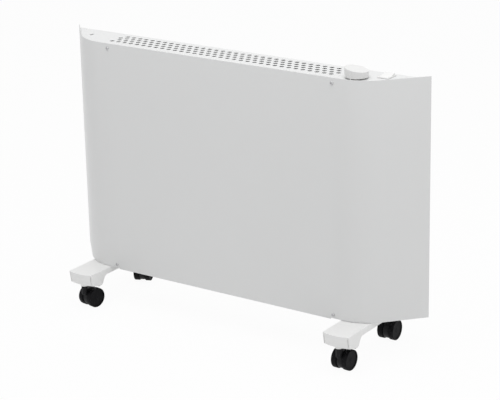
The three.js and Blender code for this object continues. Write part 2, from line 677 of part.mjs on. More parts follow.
// Stepped ceramic bush: its collar lies on the duct side, its nose passes the partition.
function insulator(side) {
  const bore = overFlats(ROD_RADIUS + RUNNING_GAP, ROD_SIDES);
  const face = PARTITION_X - SEAT_GAP;
  const collar = [face - INSULATOR_COLLAR, face];
  const nose = PARTITION_OUTER_X + INSULATOR_NOSE;
  const profile = [
    [bore, collar[0]], [INSULATOR_COLLAR_RADIUS, collar[0]], [INSULATOR_COLLAR_RADIUS, collar[1]],
    [INSULATOR_BODY_RADIUS, collar[1]], [INSULATOR_BODY_RADIUS, nose], [bore, nose], [bore, collar[0]],
  ];
  return turned('x', profile.map(([r, x]) => [r, side * x]), ROD_SIDES);
}

// ---------------------------------------------------------------- thermostat, knob and switch

function thermostatBody() {
  const [width, depth, height] = THERMOSTAT_SIZE;
  const top = PLATE_UNDERSIDE - SEAT_GAP;
  const housing = block(around(0, width), around(0, depth), [top - height, top]);
  const bush = rod('z', BUSH_RADIUS, top - OVERRUN, PLATE_TOP + BUSH_ABOVE_PLATE, SPINDLE_SIDES);
  const bore = rod('z', overFlats(SPINDLE_RADIUS + RUNNING_GAP, SPINDLE_SIDES), top - height / 2,
    PLATE_TOP + BUSH_ABOVE_PLATE + OVERRUN, SPINDLE_SIDES);
  return cut(join(housing, bush), bore);
}

function thermostatNut() {
  const z = [PLATE_TOP + SEAT_GAP, PLATE_TOP + SEAT_GAP + NUT_HEIGHT];
  const bore = rod('z', overFlats(BUSH_RADIUS + RUNNING_GAP, SPINDLE_SIDES), ...past(z), SPINDLE_SIDES);
  return cut(prismZ(ring(0, 0, overFlats(NUT_HALF_WIDTH, 6), 6), z), bore);
}

function spindleTop() {
  return KNOB_BASE + KNOB_HEIGHT - SPINDLE_SHORT;
}

function thermostatSpindle() {
  const bottom = PLATE_UNDERSIDE - SEAT_GAP - THERMOSTAT_SIZE[2] / 2 + SEAT_GAP;
  return rod('z', SPINDLE_RADIUS, bottom, spindleTop(), SPINDLE_SIDES);
}

// Round cap, hollow below with a central hub, its top cut on a slant.
function thermostatKnob() {
  const rise = KNOB_RADIUS * Math.tan(THREE.MathUtils.degToRad(KNOB_TILT_DEG));
  const crown = KNOB_BASE + KNOB_HEIGHT + rise + OVERRUN;
  const bore = overFlats(SPINDLE_RADIUS + RUNNING_GAP, SPINDLE_SIDES);
  const hubBottom = PLATE_TOP + BUSH_ABOVE_PLATE + SEAT_GAP;
  const ceiling = KNOB_BASE + KNOB_HEIGHT - rise - KNOB_WALL / 2;
  const inside = KNOB_RADIUS - KNOB_WALL;
  const profile = [
    [0, crown], [KNOB_RADIUS, crown], [KNOB_RADIUS, KNOB_BASE + KNOB_EDGE],
    [KNOB_RADIUS - KNOB_EDGE / 2, KNOB_BASE], [inside, KNOB_BASE], [inside, ceiling], [0, ceiling],
  ];
  const hub = rod('z', bore + KNOB_WALL, hubBottom, ceiling + OVERRUN, SPINDLE_SIDES);
  const pointer = block(around(0, KNOB_POINTER_WIDTH), [-KNOB_RADIUS - KNOB_POINTER_OUT, -inside],
    [KNOB_BASE - KNOB_POINTER_DROP, KNOB_BASE + KNOB_HEIGHT - rise]);
  const socket = rod('z', bore, hubBottom - OVERRUN, spindleTop() + SEAT_GAP, SPINDLE_SIDES);
  const cover = around(0, 4 * KNOB_RADIUS);
  const slant = block(cover, cover, [0, 4 * KNOB_HEIGHT])
    .rotateY(THREE.MathUtils.degToRad(KNOB_TILT_DEG))
    .rotateZ(THREE.MathUtils.degToRad(KNOB_HIGH_SIDE_DEG + 180))
    .translate(0, 0, KNOB_BASE + KNOB_HEIGHT);
  return cut(join(turned('z', profile, KNOB_SIDES), hub, pointer), socket, slant);
}

function rockerHalfWidth() {
  return BEZEL_WIDTH / 2 - BEZEL_RIM - ROCKER_SIDE_GAP;
}

function switchBody() {
  const halves = (inset) => [BEZEL_WIDTH / 2 - inset, BEZEL_LENGTH / 2 - inset];
  const [bezelX, bezelY] = halves(0);
  const [bodyX, bodyY] = halves(SWITCH_BODY_INSET);
  const [wellX, wellY] = halves(BEZEL_RIM);
  const bezel = block([-bezelX, bezelX], [-bezelY, bezelY], [SWITCH_SEAT_Z, BEZEL_TOP]);
  const body = block([-bodyX, bodyX], [-bodyY, bodyY],
    [SWITCH_SEAT_Z - SWITCH_BODY_DEPTH, SWITCH_SEAT_Z + OVERRUN]);
  const well = block([-wellX, wellX], [-wellY, wellY],
    [ROCKER_PIVOT_Z - ROCKER_DEPTH - ROCKER_FLOOR_GAP, BEZEL_TOP + OVERRUN]);
  const reach = rockerHalfWidth() + ROCKER_SIDE_GAP + ROCKER_PIN_REACH + ROCKER_PIN_END_GAP;
  const pinRadius = overFlats(ROCKER_PIN_RADIUS + RUNNING_GAP, SCREW_SIDES);
  const pinHole = rod('x', pinRadius, -reach, reach, SCREW_SIDES).translate(0, 0, ROCKER_PIVOT_Z);
  return cut(join(bezel, body), well, pinHole);
}

// Rocker with a shallow V top, leaning back so that its rear end stands up.
function switchRocker() {
  const tilt = THREE.MathUtils.degToRad(ROCKER_TILT_DEG);
  const half = BEZEL_LENGTH / 2 - BEZEL_RIM - ROCKER_SIDE_GAP;
  const middle = BEZEL_HEIGHT + ROCKER_STAND;
  const end = middle + half * Math.tan(tilt);
  const profile = [
    [-half, 0], [-ROCKER_KEEL, -ROCKER_DEPTH], [ROCKER_KEEL, -ROCKER_DEPTH], [half, 0],
    [half, end], [0, middle], [-half, end],
  ];
  const width = rockerHalfWidth();
  const reach = width + ROCKER_SIDE_GAP + ROCKER_PIN_REACH;
  const pin = rod('x', ROCKER_PIN_RADIUS, -reach, reach, SCREW_SIDES);
  return join(prismX(profile, [-width, width]), pin).rotateX(tilt);
}

// ---------------------------------------------------------------- control compartment

function terminalBlock() {
  const { z, width, depth, height } = TERMINAL_BLOCK;
  const back = REAR_PANEL_FRONT_Y - SEAT_GAP;
  const front = back - depth;
  const body = block(around(GLAND_X, width), [front, back], [z, z + height]);
  const depths = [front - OVERRUN, front + TERMINAL_WELL_DEPTH];
  const middleZ = z + height / 2;
  const well = (i) => (
    rod('y', TERMINAL_WELL_RADIUS, ...depths, SCREW_SIDES)
      .translate(GLAND_X + i * TERMINAL_PITCH, 0, middleZ));
  return cut(body, ...[-1, 0, 1].map(well));
}

function terminalPoint(i) {
  const { z, depth, height } = TERMINAL_BLOCK;
  return [GLAND_X + i * TERMINAL_PITCH, REAR_PANEL_FRONT_Y - SEAT_GAP - depth / 2, z + height + SEAT_GAP];
}

function cableGland() {
  const face = -REAR_SETBACK + SEAT_GAP;
  const profile = [
    [GLAND_BORE_RADIUS, -REAR_SETBACK - GLAND_INSIDE],
    [GLAND_BODY_RADIUS, -REAR_SETBACK - GLAND_INSIDE],
    [GLAND_BODY_RADIUS, face],
    [GLAND_COLLAR_RADIUS, face],
    [GLAND_COLLAR_RADIUS, face + GLAND_COLLAR],
    [GLAND_BODY_RADIUS, face + GLAND_OUTSIDE],
    [GLAND_BORE_RADIUS, face + GLAND_OUTSIDE],
    [GLAND_BORE_RADIUS, -REAR_SETBACK - GLAND_INSIDE],
  ];
  return turned('y', profile, GLAND_SIDES);
}

function glandNut() {
  const back = REAR_PANEL_FRONT_Y - SEAT_GAP;
  const y = [back - GLAND_NUT_THICKNESS, back];
  const bore = rod('y', overFlats(GLAND_BODY_RADIUS + RUNNING_GAP, GLAND_SIDES), ...past(y), GLAND_SIDES);
  return cut(prismY(ring(0, 0, GLAND_NUT_RADIUS, 6), y), bore);
}

function thermalCutout() {
  const { thickness, width, height } = CUTOUT;
  const near = PARTITION_OUTER_X + SEAT_GAP;
  const body = block([near, near + thickness], around(0, width), around(0, height));
  const button = rod('x', CUTOUT_BUTTON_RADIUS, near + thickness - OVERRUN,
    near + thickness + CUTOUT_BUTTON_HEIGHT, SCREW_SIDES);
  return join(body, button);
}

function sensorClip() {
  const [length, width, height] = CLIP_SIZE;
  const near = PARTITION_OUTER_X + SEAT_GAP;
  const z = BULB_Z + BULB_LENGTH / 2;
  const body = block([near, near + length], around(BULB_Y, width), around(z, height));
  const seat = rod('z', overFlats(BULB_RADIUS + SEAT_GAP, ROD_SIDES), z - height, z + height, ROD_SIDES);
  return cut(body, seat.translate(BULB_X, BULB_Y, 0));
}

// A bend's place from its offsets.
function inCompartment([x, y, z]) {
  return [PARTITION_OUTER_X + x, y, CASING_TOP + z];
}

function raised([x, y, z], rise) {
  return [x, y, z + rise];
}

// Each lead runs straight out of its terminal before it bends.
function leadRoutes() {
  const switchUnder = SWITCH_SEAT_Z - SWITCH_BODY_DEPTH - SEAT_GAP;
  const thermostatUnder = PLATE_UNDERSIDE - THERMOSTAT_SIZE[2] - 2 * SEAT_GAP;
  const cutoutX = PARTITION_OUTER_X + SEAT_GAP + CUTOUT.thickness / 2;
  const cutoutTop = [cutoutX, CUTOUT.y, CUTOUT_Z + CUTOUT.height / 2 + SEAT_GAP];
  const cutoutBottom = [cutoutX, CUTOUT.y, CUTOUT_Z - CUTOUT.height / 2 - SEAT_GAP];
  const [neutral, live, earth] = [-1, 0, 1].map(terminalPoint);
  const switchRear = [SWITCH_X, SWITCH_Y + SWITCH_TERMINAL_Y, switchUnder];
  const switchFront = [SWITCH_X, SWITCH_Y - SWITCH_TERMINAL_Y, switchUnder];
  const thermostatRight = [KNOB_X + THERMOSTAT_TERMINAL_X, KNOB_Y, thermostatUnder];
  const thermostatLeft = [KNOB_X - THERMOSTAT_TERMINAL_X, KNOB_Y, thermostatUnder];
  const pinX = ROD_HALF_LENGTH + ROD_PIN_LENGTH + SEAT_GAP;
  const onRod = (x, rise = 0) => [x, ELEMENT_Y, ELEMENT_Z + rise];
  const onWall = (x) => [x, NEUTRAL_Y, NEUTRAL_Z];
  return {
    supply: [live, raised(live, WIRE_STRAIGHT), inCompartment(SUPPLY_BEND),
      raised(switchRear, -WIRE_STRAIGHT), switchRear],
    thermostat: [switchFront, raised(switchFront, -WIRE_SHORT_STRAIGHT), inCompartment(THERMOSTAT_BEND),
      raised(thermostatRight, -WIRE_STRAIGHT), thermostatRight],
    cutout: [thermostatLeft, raised(thermostatLeft, -WIRE_STRAIGHT), inCompartment(CUTOUT_BEND),
      raised(cutoutTop, WIRE_STRAIGHT), cutoutTop],
    element: [cutoutBottom, raised(cutoutBottom, -WIRE_STRAIGHT),
      onRod(pinX + ELEMENT_BEND_OUT / 2, ELEMENT_BEND_RISE),
      onRod(pinX + ELEMENT_BEND_OUT, ELEMENT_BEND_OUT / 2), onRod(pinX + ELEMENT_BEND_OUT / 2), onRod(pinX)],
    neutral: [neutral, raised(neutral, WIRE_SHORT_STRAIGHT), onWall(PARTITION_X + NEUTRAL_ENTRY),
      onWall(PARTITION_X), onWall(0), onWall(-PARTITION_X),
      [-pinX - NEUTRAL_BEND_OUT / 2, (NEUTRAL_Y + ELEMENT_Y) / 2, (NEUTRAL_Z + ELEMENT_Z) / 2],
      onRod(-pinX - NEUTRAL_BEND_OUT, -NEUTRAL_BEND_OUT / 2), onRod(-pinX - NEUTRAL_BEND_OUT / 2),
      onRod(-pinX)],
    earth: [earth, raised(earth, WIRE_SHORT_STRAIGHT), [EARTH_X, earth[1], EARTH_Z - WIRE_SHORT_STRAIGHT],
      [EARTH_X, earth[1], EARTH_Z], [EARTH_X, REAR_PANEL_FRONT_Y - SEAT_GAP, EARTH_Z]],
  };
}

function capillaryRoute() {
  const start = [KNOB_X, KNOB_Y + CAPILLARY_Y, PLATE_UNDERSIDE - THERMOSTAT_SIZE[2] - 2 * SEAT_GAP];
  const end = [BULB_X, BULB_Y, BULB_Z + BULB_LENGTH + SEAT_GAP];
  return [start, raised(start, -CAPILLARY_STRAIGHT), ...CAPILLARY_BENDS.map(inCompartment),
    raised(end, CAPILLARY_STRAIGHT), end];
}

// ---------------------------------------------------------------- feet

// Side view of one foot, in y and z: deep ends, a thin bar between them.
function footSide() {
  const half = [
    [FOOT_HALF_LENGTH, FOOT_TOP],
    [FOOT_HALF_LENGTH - FOOT_TOE_SLANT, FOOT_TOE_BOTTOM],
    [FOOT_END_FLAT[0], FOOT_END_BOTTOM],
    [FOOT_END_FLAT[1], FOOT_END_BOTTOM],
    [FOOT_END_FLAT[1] - FOOT_HEEL_CHAMFER[0], FOOT_END_BOTTOM + FOOT_HEEL_CHAMFER[1]],
    [FOOT_END_HEEL, FOOT_BAR_BOTTOM - FOOT_HEEL_FILLET[1]],
    [FOOT_END_HEEL - FOOT_HEEL_FILLET[0], FOOT_BAR_BOTTOM],
  ];
  const front = half.map(([y, z]) => [-y, z]);
  return [...front, ...half.reverse()];
}

// Plan of one foot, in x and y: bowed ends with rounded corners.
function footPlan() {
  const [w, l] = [FOOT_WIDTH / 2, FOOT_HALF_LENGTH];
  const end = [
    [-w, -l + FOOT_BOW + FOOT_CORNER], [-w + FOOT_CORNER, -l + FOOT_BOW], [-FOOT_BOW_FLAT, -l],
    [FOOT_BOW_FLAT, -l], [w - FOOT_CORNER, -l + FOOT_BOW], [w, -l + FOOT_BOW + FOOT_CORNER],
  ];
  return [...end, ...end.map(([x, y]) => [-x, -y])];
}

function foot() {
  const outer = common(prismX(footSide(), around(0, FOOT_WIDTH)), prismZ(footPlan(), [0, FOOT_TOP]));
  const ceiling = FOOT_TOP - FOOT_WALL;
  const [top, bottom] = [FOOT_HALF_LENGTH - FOOT_END_WALL, FOOT_HALF_LENGTH - FOOT_END_WALL - FOOT_TOE_SLANT];
  const floor = FOOT_END_BOTTOM - OVERRUN;
  const hollowSide = [[-top, ceiling], [-bottom, floor], [bottom, floor], [top, ceiling]];
  const inner = around(0, FOOT_WIDTH - 2 * FOOT_WALL);
  const socketRadius = overFlats(STEM_RADIUS + RUNNING_GAP, ROD_SIDES);
  const atEnds = (make) => Object.values(ENDS).map(make);
  const bosses = atEnds((end) => (
    rod('z', BOSS_RADIUS, BOSS_BOTTOM, ceiling + OVERRUN, ROD_SIDES).translate(0, end * STEM_OFFSET, 0)));
  const webs = atEnds((end) => (
    block(past(inner), around(end * STEM_OFFSET, FOOT_WALL), [FOOT_BAR_BOTTOM, ceiling + OVERRUN])));
  const sockets = atEnds((end) => (
    rod('z', socketRadius, ...past([BOSS_BOTTOM, STEM_TOP]), ROD_SIDES).translate(0, end * STEM_OFFSET, 0)));
  const screwHoles = atEnds((end) => (
    rod('z', FOOT_SCREW_HOLE_RADIUS, ...past([ceiling, FOOT_TOP]), SCREW_SIDES)
      .translate(0, end * FOOT_SCREW_Y, 0)));
  return cut(join(cut(outer, prismX(hollowSide, inner)), ...bosses, ...webs), ...sockets, ...screwHoles);
}

function footScrew() {
  const seat = FOOT_TOP - FOOT_WALL - SEAT_GAP;
  const top = FLOOR_PLATE_TOP + FOOT_SCREW_ABOVE;
  const profile = [
    [0, seat - FOOT_SCREW_HEAD_HEIGHT], [FOOT_SCREW_HEAD_RADIUS, seat - FOOT_SCREW_HEAD_HEIGHT],
    [FOOT_SCREW_HEAD_RADIUS, seat], [FOOT_SCREW_RADIUS, seat], [FOOT_SCREW_RADIUS, top], [0, top],
  ];
  return turned('z', profile, SCREW_SIDES);
}

// ---------------------------------------------------------------- castors

// All castor shapes are drawn with the stem's axis on z and the axle CASTOR_TRAIL behind it.
function castorFrame() {
  const disc = rod('x', CASTOR_WEB_RADIUS, -CASTOR_WEB_HALF, CASTOR_WEB_HALF, CASTOR_WEB_SIDES)
    .translate(0, CASTOR_TRAIL, WHEEL_RADIUS);
  const column = block([-CASTOR_WEB_HALF, CASTOR_WEB_HALF], [0, CASTOR_TRAIL], [WHEEL_RADIUS, CASTOR_WEB_TOP]);
  const collar = rod('z', CASTOR_COLLAR_RADIUS, CASTOR_COLLAR_BOTTOM, CASTOR_TOP, ROD_SIDES);
  const axleHole = rod('x', overFlats(AXLE_RADIUS + RUNNING_GAP, AXLE_SIDES),
    ...past([-CASTOR_WEB_HALF, CASTOR_WEB_HALF]), AXLE_SIDES).translate(0, CASTOR_TRAIL, WHEEL_RADIUS);
  const stemHole = rod('z', overFlats(STEM_RADIUS + RUNNING_GAP, ROD_SIDES), STEM_BOTTOM - SEAT_GAP,
    CASTOR_TOP + OVERRUN, ROD_SIDES);
  return cut(join(disc, column, collar), axleHole, stemHole);
}

// Wheel to the right of the castor's middle; its flats touch the floor.
function castorWheel(side) {
  const start = Math.PI / WHEEL_SIDES;
  const rim = overFlats(WHEEL_RADIUS, WHEEL_SIDES);
  const edge = overFlats(WHEEL_RADIUS - WHEEL_EDGE, WHEEL_SIDES);
  const bore = overFlats(AXLE_RADIUS + RUNNING_GAP, WHEEL_SIDES);
  const boreEnd = WHEEL_OUTER - AXLE_END_WALL;
  const profile = [
    [0, boreEnd], [bore, boreEnd], [bore, WHEEL_INNER], [edge, WHEEL_INNER], [rim, WHEEL_INNER + WHEEL_EDGE],
    [rim, WHEEL_OUTER - WHEEL_EDGE], [edge, WHEEL_OUTER], [WHEEL_DISH_RADIUS, WHEEL_OUTER - WHEEL_DISH_DEPTH],
    [0, WHEEL_OUTER - WHEEL_HUB_DEPTH],
  ];
  return turned('x', profile.map(([r, x]) => [r, side * x]), WHEEL_SIDES, start);
}

function castorAxle() {
  const end = WHEEL_OUTER - AXLE_END_WALL - SEAT_GAP;
  return rod('x', AXLE_RADIUS, -end, end, AXLE_SIDES);
}

function castor(place) {
  const group = new THREE.Group();
  const axlePlace = [0, CASTOR_TRAIL, WHEEL_RADIUS];
  group.add(
    piece(`castor_${place}_frame`, castorFrame(), FINISH.blackPlastic),
    piece(`castor_${place}_stem`, rod('z', STEM_RADIUS, STEM_BOTTOM, STEM_TOP, ROD_SIDES), FINISH.steel),
    piece(`castor_${place}_axle`, castorAxle(), FINISH.steel, axlePlace),
    piece(`castor_${place}_wheel_left`, castorWheel(-1), FINISH.tread, axlePlace),
    piece(`castor_${place}_wheel_right`, castorWheel(1), FINISH.tread, axlePlace),
  );
  const [end, side] = place.split('_');
  group.position.set(SIDES[side] * FOOT_X, FOOT_CENTRE_Y + ENDS[end] * STEM_OFFSET, 0);
  group.rotation.z = THREE.MathUtils.degToRad(CASTOR_YAW_DEG[place]);
  return group;
}

// ---------------------------------------------------------------- assembly

function casing() {
  const group = new THREE.Group();
  group.add(
    piece('front_shell', frontShell(), FINISH.paint),
    piece('top_grille', topGrille(), FINISH.paint),
    piece('bottom_grille', bottomGrille(), FINISH.paint),
    piece('rear_panel', rearPanel(), FINISH.paint),
    piece('partition_left', partition(-1), FINISH.innerSteel),
    piece('partition_right', partition(1), FINISH.innerSteel),
  );
  const corners = ['top_left', 'top_right', 'bottom_left', 'bottom_right'];
  screwPlaces().forEach(([x, z], i) => {
    group.add(piece(`front_screw_${corners[i]}`, frontScrew(), FINISH.steel, [x, -CASING_DEPTH, z]));
  });
  return group;
}

function element() {
  const group = new THREE.Group();
  const axis = [0, ELEMENT_Y, ELEMENT_Z];
  group.add(
    piece('heating_element', heatingElement(), FINISH.aluminium),
    piece('heating_rod', heatingRod(), FINISH.steel, axis),
    piece('insulator_left', insulator(-1), FINISH.ceramic, axis),
    piece('insulator_right', insulator(1), FINISH.ceramic, axis),
  );
  return group;
}

function controls() {
  const group = new THREE.Group();
  const knobAxis = [KNOB_X, KNOB_Y, 0];
  const switchAxis = [SWITCH_X, SWITCH_Y, 0];
  group.add(
    piece('thermostat_body', thermostatBody(), FINISH.bakelite, knobAxis),
    piece('thermostat_nut', thermostatNut(), FINISH.brass, knobAxis),
    piece('thermostat_spindle', thermostatSpindle(), FINISH.brass, knobAxis),
    piece('thermostat_knob', thermostatKnob(), FINISH.whitePlastic, knobAxis),
    piece('switch_body', switchBody(), FINISH.whitePlastic, switchAxis),
    piece('switch_rocker', switchRocker(), FINISH.whitePlastic, [SWITCH_X, SWITCH_Y, ROCKER_PIVOT_Z]),
  );
  return group;
}

function wiring() {
  const group = new THREE.Group();
  const routes = leadRoutes();
  const lead = (name, steps, material) => (
    piece(`lead_${name}`, tube(routes[name], WIRE_RADIUS, steps), material));
  group.add(
    piece('terminal_block', terminalBlock(), FINISH.whitePlastic),
    piece('cable_gland', cableGland(), FINISH.blackPlastic, [GLAND_X, 0, GLAND_Z]),
    piece('gland_nut', glandNut(), FINISH.blackPlastic, [GLAND_X, 0, GLAND_Z]),
    piece('thermal_cutout', thermalCutout(), FINISH.bakelite, [0, CUTOUT.y, CUTOUT_Z]),
    piece('sensor_bulb', rod('z', BULB_RADIUS, BULB_Z, BULB_Z + BULB_LENGTH, ROD_SIDES), FINISH.copper,
      [BULB_X, BULB_Y, 0]),
    piece('sensor_clip', sensorClip(), FINISH.whitePlastic),
    piece('capillary_tube', tube(capillaryRoute(), CAPILLARY_RADIUS, 24), FINISH.copper),
    lead('supply', 20, FINISH.brownWire),
    lead('thermostat', 16, FINISH.brownWire),
    lead('cutout', 16, FINISH.brownWire),
    lead('element', 20, FINISH.brownWire),
    lead('neutral', 44, FINISH.blueWire),
    lead('earth', 16, FINISH.greenWire),
  );
  return group;
}

function feet() {
  const group = new THREE.Group();
  Object.entries(SIDES).forEach(([sideName, side]) => {
    const centre = [side * FOOT_X, FOOT_CENTRE_Y, 0];
    group.add(piece(`foot_${sideName}`, foot(), FINISH.whitePlastic, centre));
    Object.entries(ENDS).forEach(([endName, end]) => {
      const place = [centre[0], centre[1] + end * FOOT_SCREW_Y, 0];
      group.add(piece(`foot_screw_${endName}_${sideName}`, footScrew(), FINISH.steel, place));
      group.add(castor(`${endName}_${sideName}`));
    });
  });
  return group;
}

const heater = new THREE.Group();
heater.add(casing(), element(), controls(), wiring(), feet());
heater.position.y = -FOOT_CENTRE_Y;

export default heater;
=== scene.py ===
"""Panel convector heater on castor feet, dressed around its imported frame.

Lengths are in metres, with X to the right of someone facing the heater, Y towards the wall
behind it and Z up from the floor. Each class below is one sub-assembly of the heater: its
fields are its sizes, and its methods build its pieces and give them their finish.
"""
from __future__ import annotations

import json
import logging
import math
from collections.abc import Callable
from dataclasses import dataclass, field
from enum import Enum

import bmesh
import bpy
from bmesh.types import BMEdge, BMesh, BMFace, BMVert
from mathutils import Matrix, Vector

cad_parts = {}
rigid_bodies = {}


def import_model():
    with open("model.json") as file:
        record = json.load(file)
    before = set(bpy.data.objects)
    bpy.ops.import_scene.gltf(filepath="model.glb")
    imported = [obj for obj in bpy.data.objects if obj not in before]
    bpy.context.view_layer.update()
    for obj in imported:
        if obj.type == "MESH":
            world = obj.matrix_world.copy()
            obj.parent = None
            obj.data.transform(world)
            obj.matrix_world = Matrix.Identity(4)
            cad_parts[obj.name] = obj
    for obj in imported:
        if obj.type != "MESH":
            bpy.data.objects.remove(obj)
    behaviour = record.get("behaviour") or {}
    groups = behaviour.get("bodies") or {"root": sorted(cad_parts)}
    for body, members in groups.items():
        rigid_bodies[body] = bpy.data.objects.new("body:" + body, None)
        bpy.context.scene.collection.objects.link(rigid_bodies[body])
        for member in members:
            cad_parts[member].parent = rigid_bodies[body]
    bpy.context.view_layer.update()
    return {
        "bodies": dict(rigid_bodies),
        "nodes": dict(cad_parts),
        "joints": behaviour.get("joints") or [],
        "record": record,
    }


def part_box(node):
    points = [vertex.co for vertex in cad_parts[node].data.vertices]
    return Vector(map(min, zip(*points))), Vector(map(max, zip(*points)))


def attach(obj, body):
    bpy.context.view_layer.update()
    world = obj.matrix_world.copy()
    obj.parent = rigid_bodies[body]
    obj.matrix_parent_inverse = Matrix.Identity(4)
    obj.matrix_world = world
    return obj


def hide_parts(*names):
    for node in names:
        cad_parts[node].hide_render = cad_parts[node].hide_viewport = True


log = logging.getLogger("heater")

MM = 0.001
MERGE_DISTANCE = 1e-6
SHARP_ANGLE = math.radians(32)
SEAT_GAP = 0.3 * MM
OVERLAP = 1 * MM                  # shapes that are joined or cut run past a face by this much
ROUND_SIDES = 24                  # round openings
SLOT_SIDES = 16                   # slots and small holes
CORNER_SIDES = 12                 # small rounded rectangles
X_AXIS = Vector((1, 0, 0))
Y_AXIS = Vector((0, 1, 0))
Z_AXIS = Vector((0, 0, 1))
SIDES = {"left": -1, "right": 1}
ENDS = {"front": -1, "rear": 1}

Profile = list[tuple[float, float]]


# ------------------------------------------------------------------ mesh tools


def edges_between(verts: list[BMVert]) -> list[BMEdge]:
    """Edges whose two ends are both in the list.

    Args:
        verts: Vertices of one shape.

    Returns:
        Its edges, each once.
    """
    kept = set(verts)
    return list({e for v in verts for e in v.link_edges if e.other_vert(v) in kept})


def border_of(bm: BMesh) -> list[BMEdge]:
    """Edges that belong to one face only."""
    return [e for e in bm.edges if len(e.link_faces) == 1]


def verts_in(geometry: list) -> list[BMVert]:
    """The vertices among what an operator gives back."""
    return [g for g in geometry if isinstance(g, BMVert)]


def everything(bm: BMesh) -> list:
    """All vertices, edges and faces of a mesh."""
    return bm.verts[:] + bm.edges[:] + bm.faces[:]


def carry(bm: BMesh, extruded: dict, way: Vector) -> None:
    """Moves what an extrusion made away from where it started."""
    bmesh.ops.translate(bm, verts=verts_in(extruded["geom"]), vec=way)


def middle_of(node: str) -> Vector:
    """Middle of a frame node's box."""
    low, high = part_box(node)
    return (low + high) / 2


def over(node: str, z: float = 0.0) -> Matrix:
    """Puts the origin at a height over or under the middle of a frame node."""
    middle = middle_of(node)
    return Matrix.Translation((middle.x, middle.y, z))


def sharp_edges(bm: BMesh, degrees: float) -> list[BMEdge]:
    """Edges whose two faces meet at more than an angle.

    Args:
        bm: A mesh.
        degrees: Least angle between the faces.

    Returns:
        The edges.
    """
    limit = math.radians(degrees)
    return [e for e in bm.edges if len(e.link_faces) == 2 and e.calc_face_angle() > limit]


def round_edges(bm: BMesh, edges: list[BMEdge], radius: float, segments: int = 3) -> None:
    """Rounds edges over.

    Args:
        bm: The mesh that is changed.
        edges: Its edges to round.
        radius: Width of the rounding on each side of an edge.
        segments: Facets across it.
    """
    bmesh.ops.bevel(bm, geom=edges, offset=radius, offset_type="OFFSET", segments=segments,
                    profile=0.5, affect="EDGES", material=-1, clamp_overlap=True)


def round_corners(bm: BMesh, verts: list[BMVert], radius: float, segments: int = 4) -> None:
    """Rounds the corners of a flat outline.

    Args:
        bm: The mesh that is changed.
        verts: Corners of a face.
        radius: Distance from a corner at which its rounding starts.
        segments: Facets across it.
    """
    bmesh.ops.bevel(bm, geom=verts, offset=radius, offset_type="OFFSET", segments=segments,
                    profile=0.5, affect="VERTICES", material=-1, clamp_overlap=True)


def opening(bm: BMesh, centre: tuple[float, float], radius: float, segments: int,
            stretch: tuple[float, float] = (0.0, 0.0)) -> list[BMEdge]:
    """Closed flat outline: a circle, or with a stretch a rounded slot or rectangle.

    Args:
        bm: The mesh that it is drawn in, at z = 0.
        centre: Its middle in x and y.
        radius: Radius of the circle or of the corners.
        segments: Sides, a multiple of four.
        stretch: How far the corners are pulled out each way in x and y.

    Returns:
        Its edges.
    """
    half_step = Matrix.Rotation(math.pi / segments, 4, "Z")
    verts = bmesh.ops.create_circle(bm, cap_ends=False, radius=radius, segments=segments,
                                    matrix=half_step)["verts"]
    for v in verts:
        v.co.x += math.copysign(stretch[0], v.co.x) + centre[0]
        v.co.y += math.copysign(stretch[1], v.co.y) + centre[1]
    return edges_between(verts)


def plate(bm: BMesh, loops: list[BMEdge], thickness: float, rim: float) -> None:
    """Fills flat loops at z = 0 and makes them a plate below it, with eased edges.

    Args:
        bm: A mesh that holds only the loops.
        loops: Edges of the outline and of every opening.
        thickness: Thickness of the plate.
        rim: Size of the chamfer round its openings and outline.
    """
    filled = bmesh.ops.triangle_fill(bm, use_beauty=True, edges=loops, normal=Z_AXIS)["geom"]
    faces = [g for g in filled if isinstance(g, BMFace)]
    bmesh.ops.inset_region(bm, faces=faces, thickness=rim, use_even_offset=True, use_boundary=True)
    border = border_of(bm)
    lowered = {v for e in border for v in e.verts}
    bmesh.ops.translate(bm, verts=list(lowered), vec=-Z_AXIS * rim)
    copied = bmesh.ops.duplicate(bm, geom=everything(bm))["geom"]
    flip = Matrix.Translation(-Z_AXIS * thickness) @ Matrix.Scale(-1, 4, Z_AXIS)
    bmesh.ops.transform(bm, matrix=flip, verts=verts_in(copied))
    wall = bmesh.ops.extrude_edge_only(bm, edges=border)
    carry(bm, wall, -Z_AXIS * (thickness - 2 * rim))
    bmesh.ops.remove_doubles(bm, verts=bm.verts[:], dist=MERGE_DISTANCE)


def lathe(bm: BMesh, profile: Profile, segments: int) -> list[BMVert]:
    """Turns a profile once round the Z axis.

    Args:
        bm: The mesh that it is added to.
        profile: Points (radius, height), from the axis back to the axis, or a closed loop
            whose last point is its first.
        segments: Facets round the axis.

    Returns:
        The vertices that were made.
    """
    before = set(bm.verts)
    line = [bm.verts.new((radius, 0, height)) for radius, height in profile]
    edges = [bm.edges.new(pair) for pair in zip(line, line[1:])]
    bmesh.ops.spin(bm, geom=line + edges, cent=(0, 0, 0), axis=Z_AXIS, angle=2 * math.pi,
                   steps=segments, use_merge=True, use_duplicate=False)
    made = [v for v in bm.verts if v not in before]
    bmesh.ops.remove_doubles(bm, verts=made, dist=MERGE_DISTANCE)
    return [v for v in bm.verts if v not in before]


def turned(profile: Profile, segments: int) -> BMesh:
    """A new body, turned from a profile.

    Args:
        profile: Points as for lathe.
        segments: Facets round the axis.

    Returns:
        Its mesh.
    """
    bm = bmesh.new()
    lathe(bm, profile, segments)
    return bm


def rod(radius: float, low: float, high: float, segments: int, ease: float = 0.0) -> BMesh:
    """A round rod on the Z axis.

    Args:
        radius: Its radius.
        low: Height of its lower end.
        high: Height of its upper end.
        segments: Facets round it.
        ease: Size of the chamfers at its ends, if it has them.

    Returns:
        Its mesh.
    """
    side = [(radius, low + ease), (radius, high - ease)]
    if ease:
        side = [(radius - ease, low), *side, (radius - ease, high)]
    return turned([(0, low), *side, (0, high)], segments)


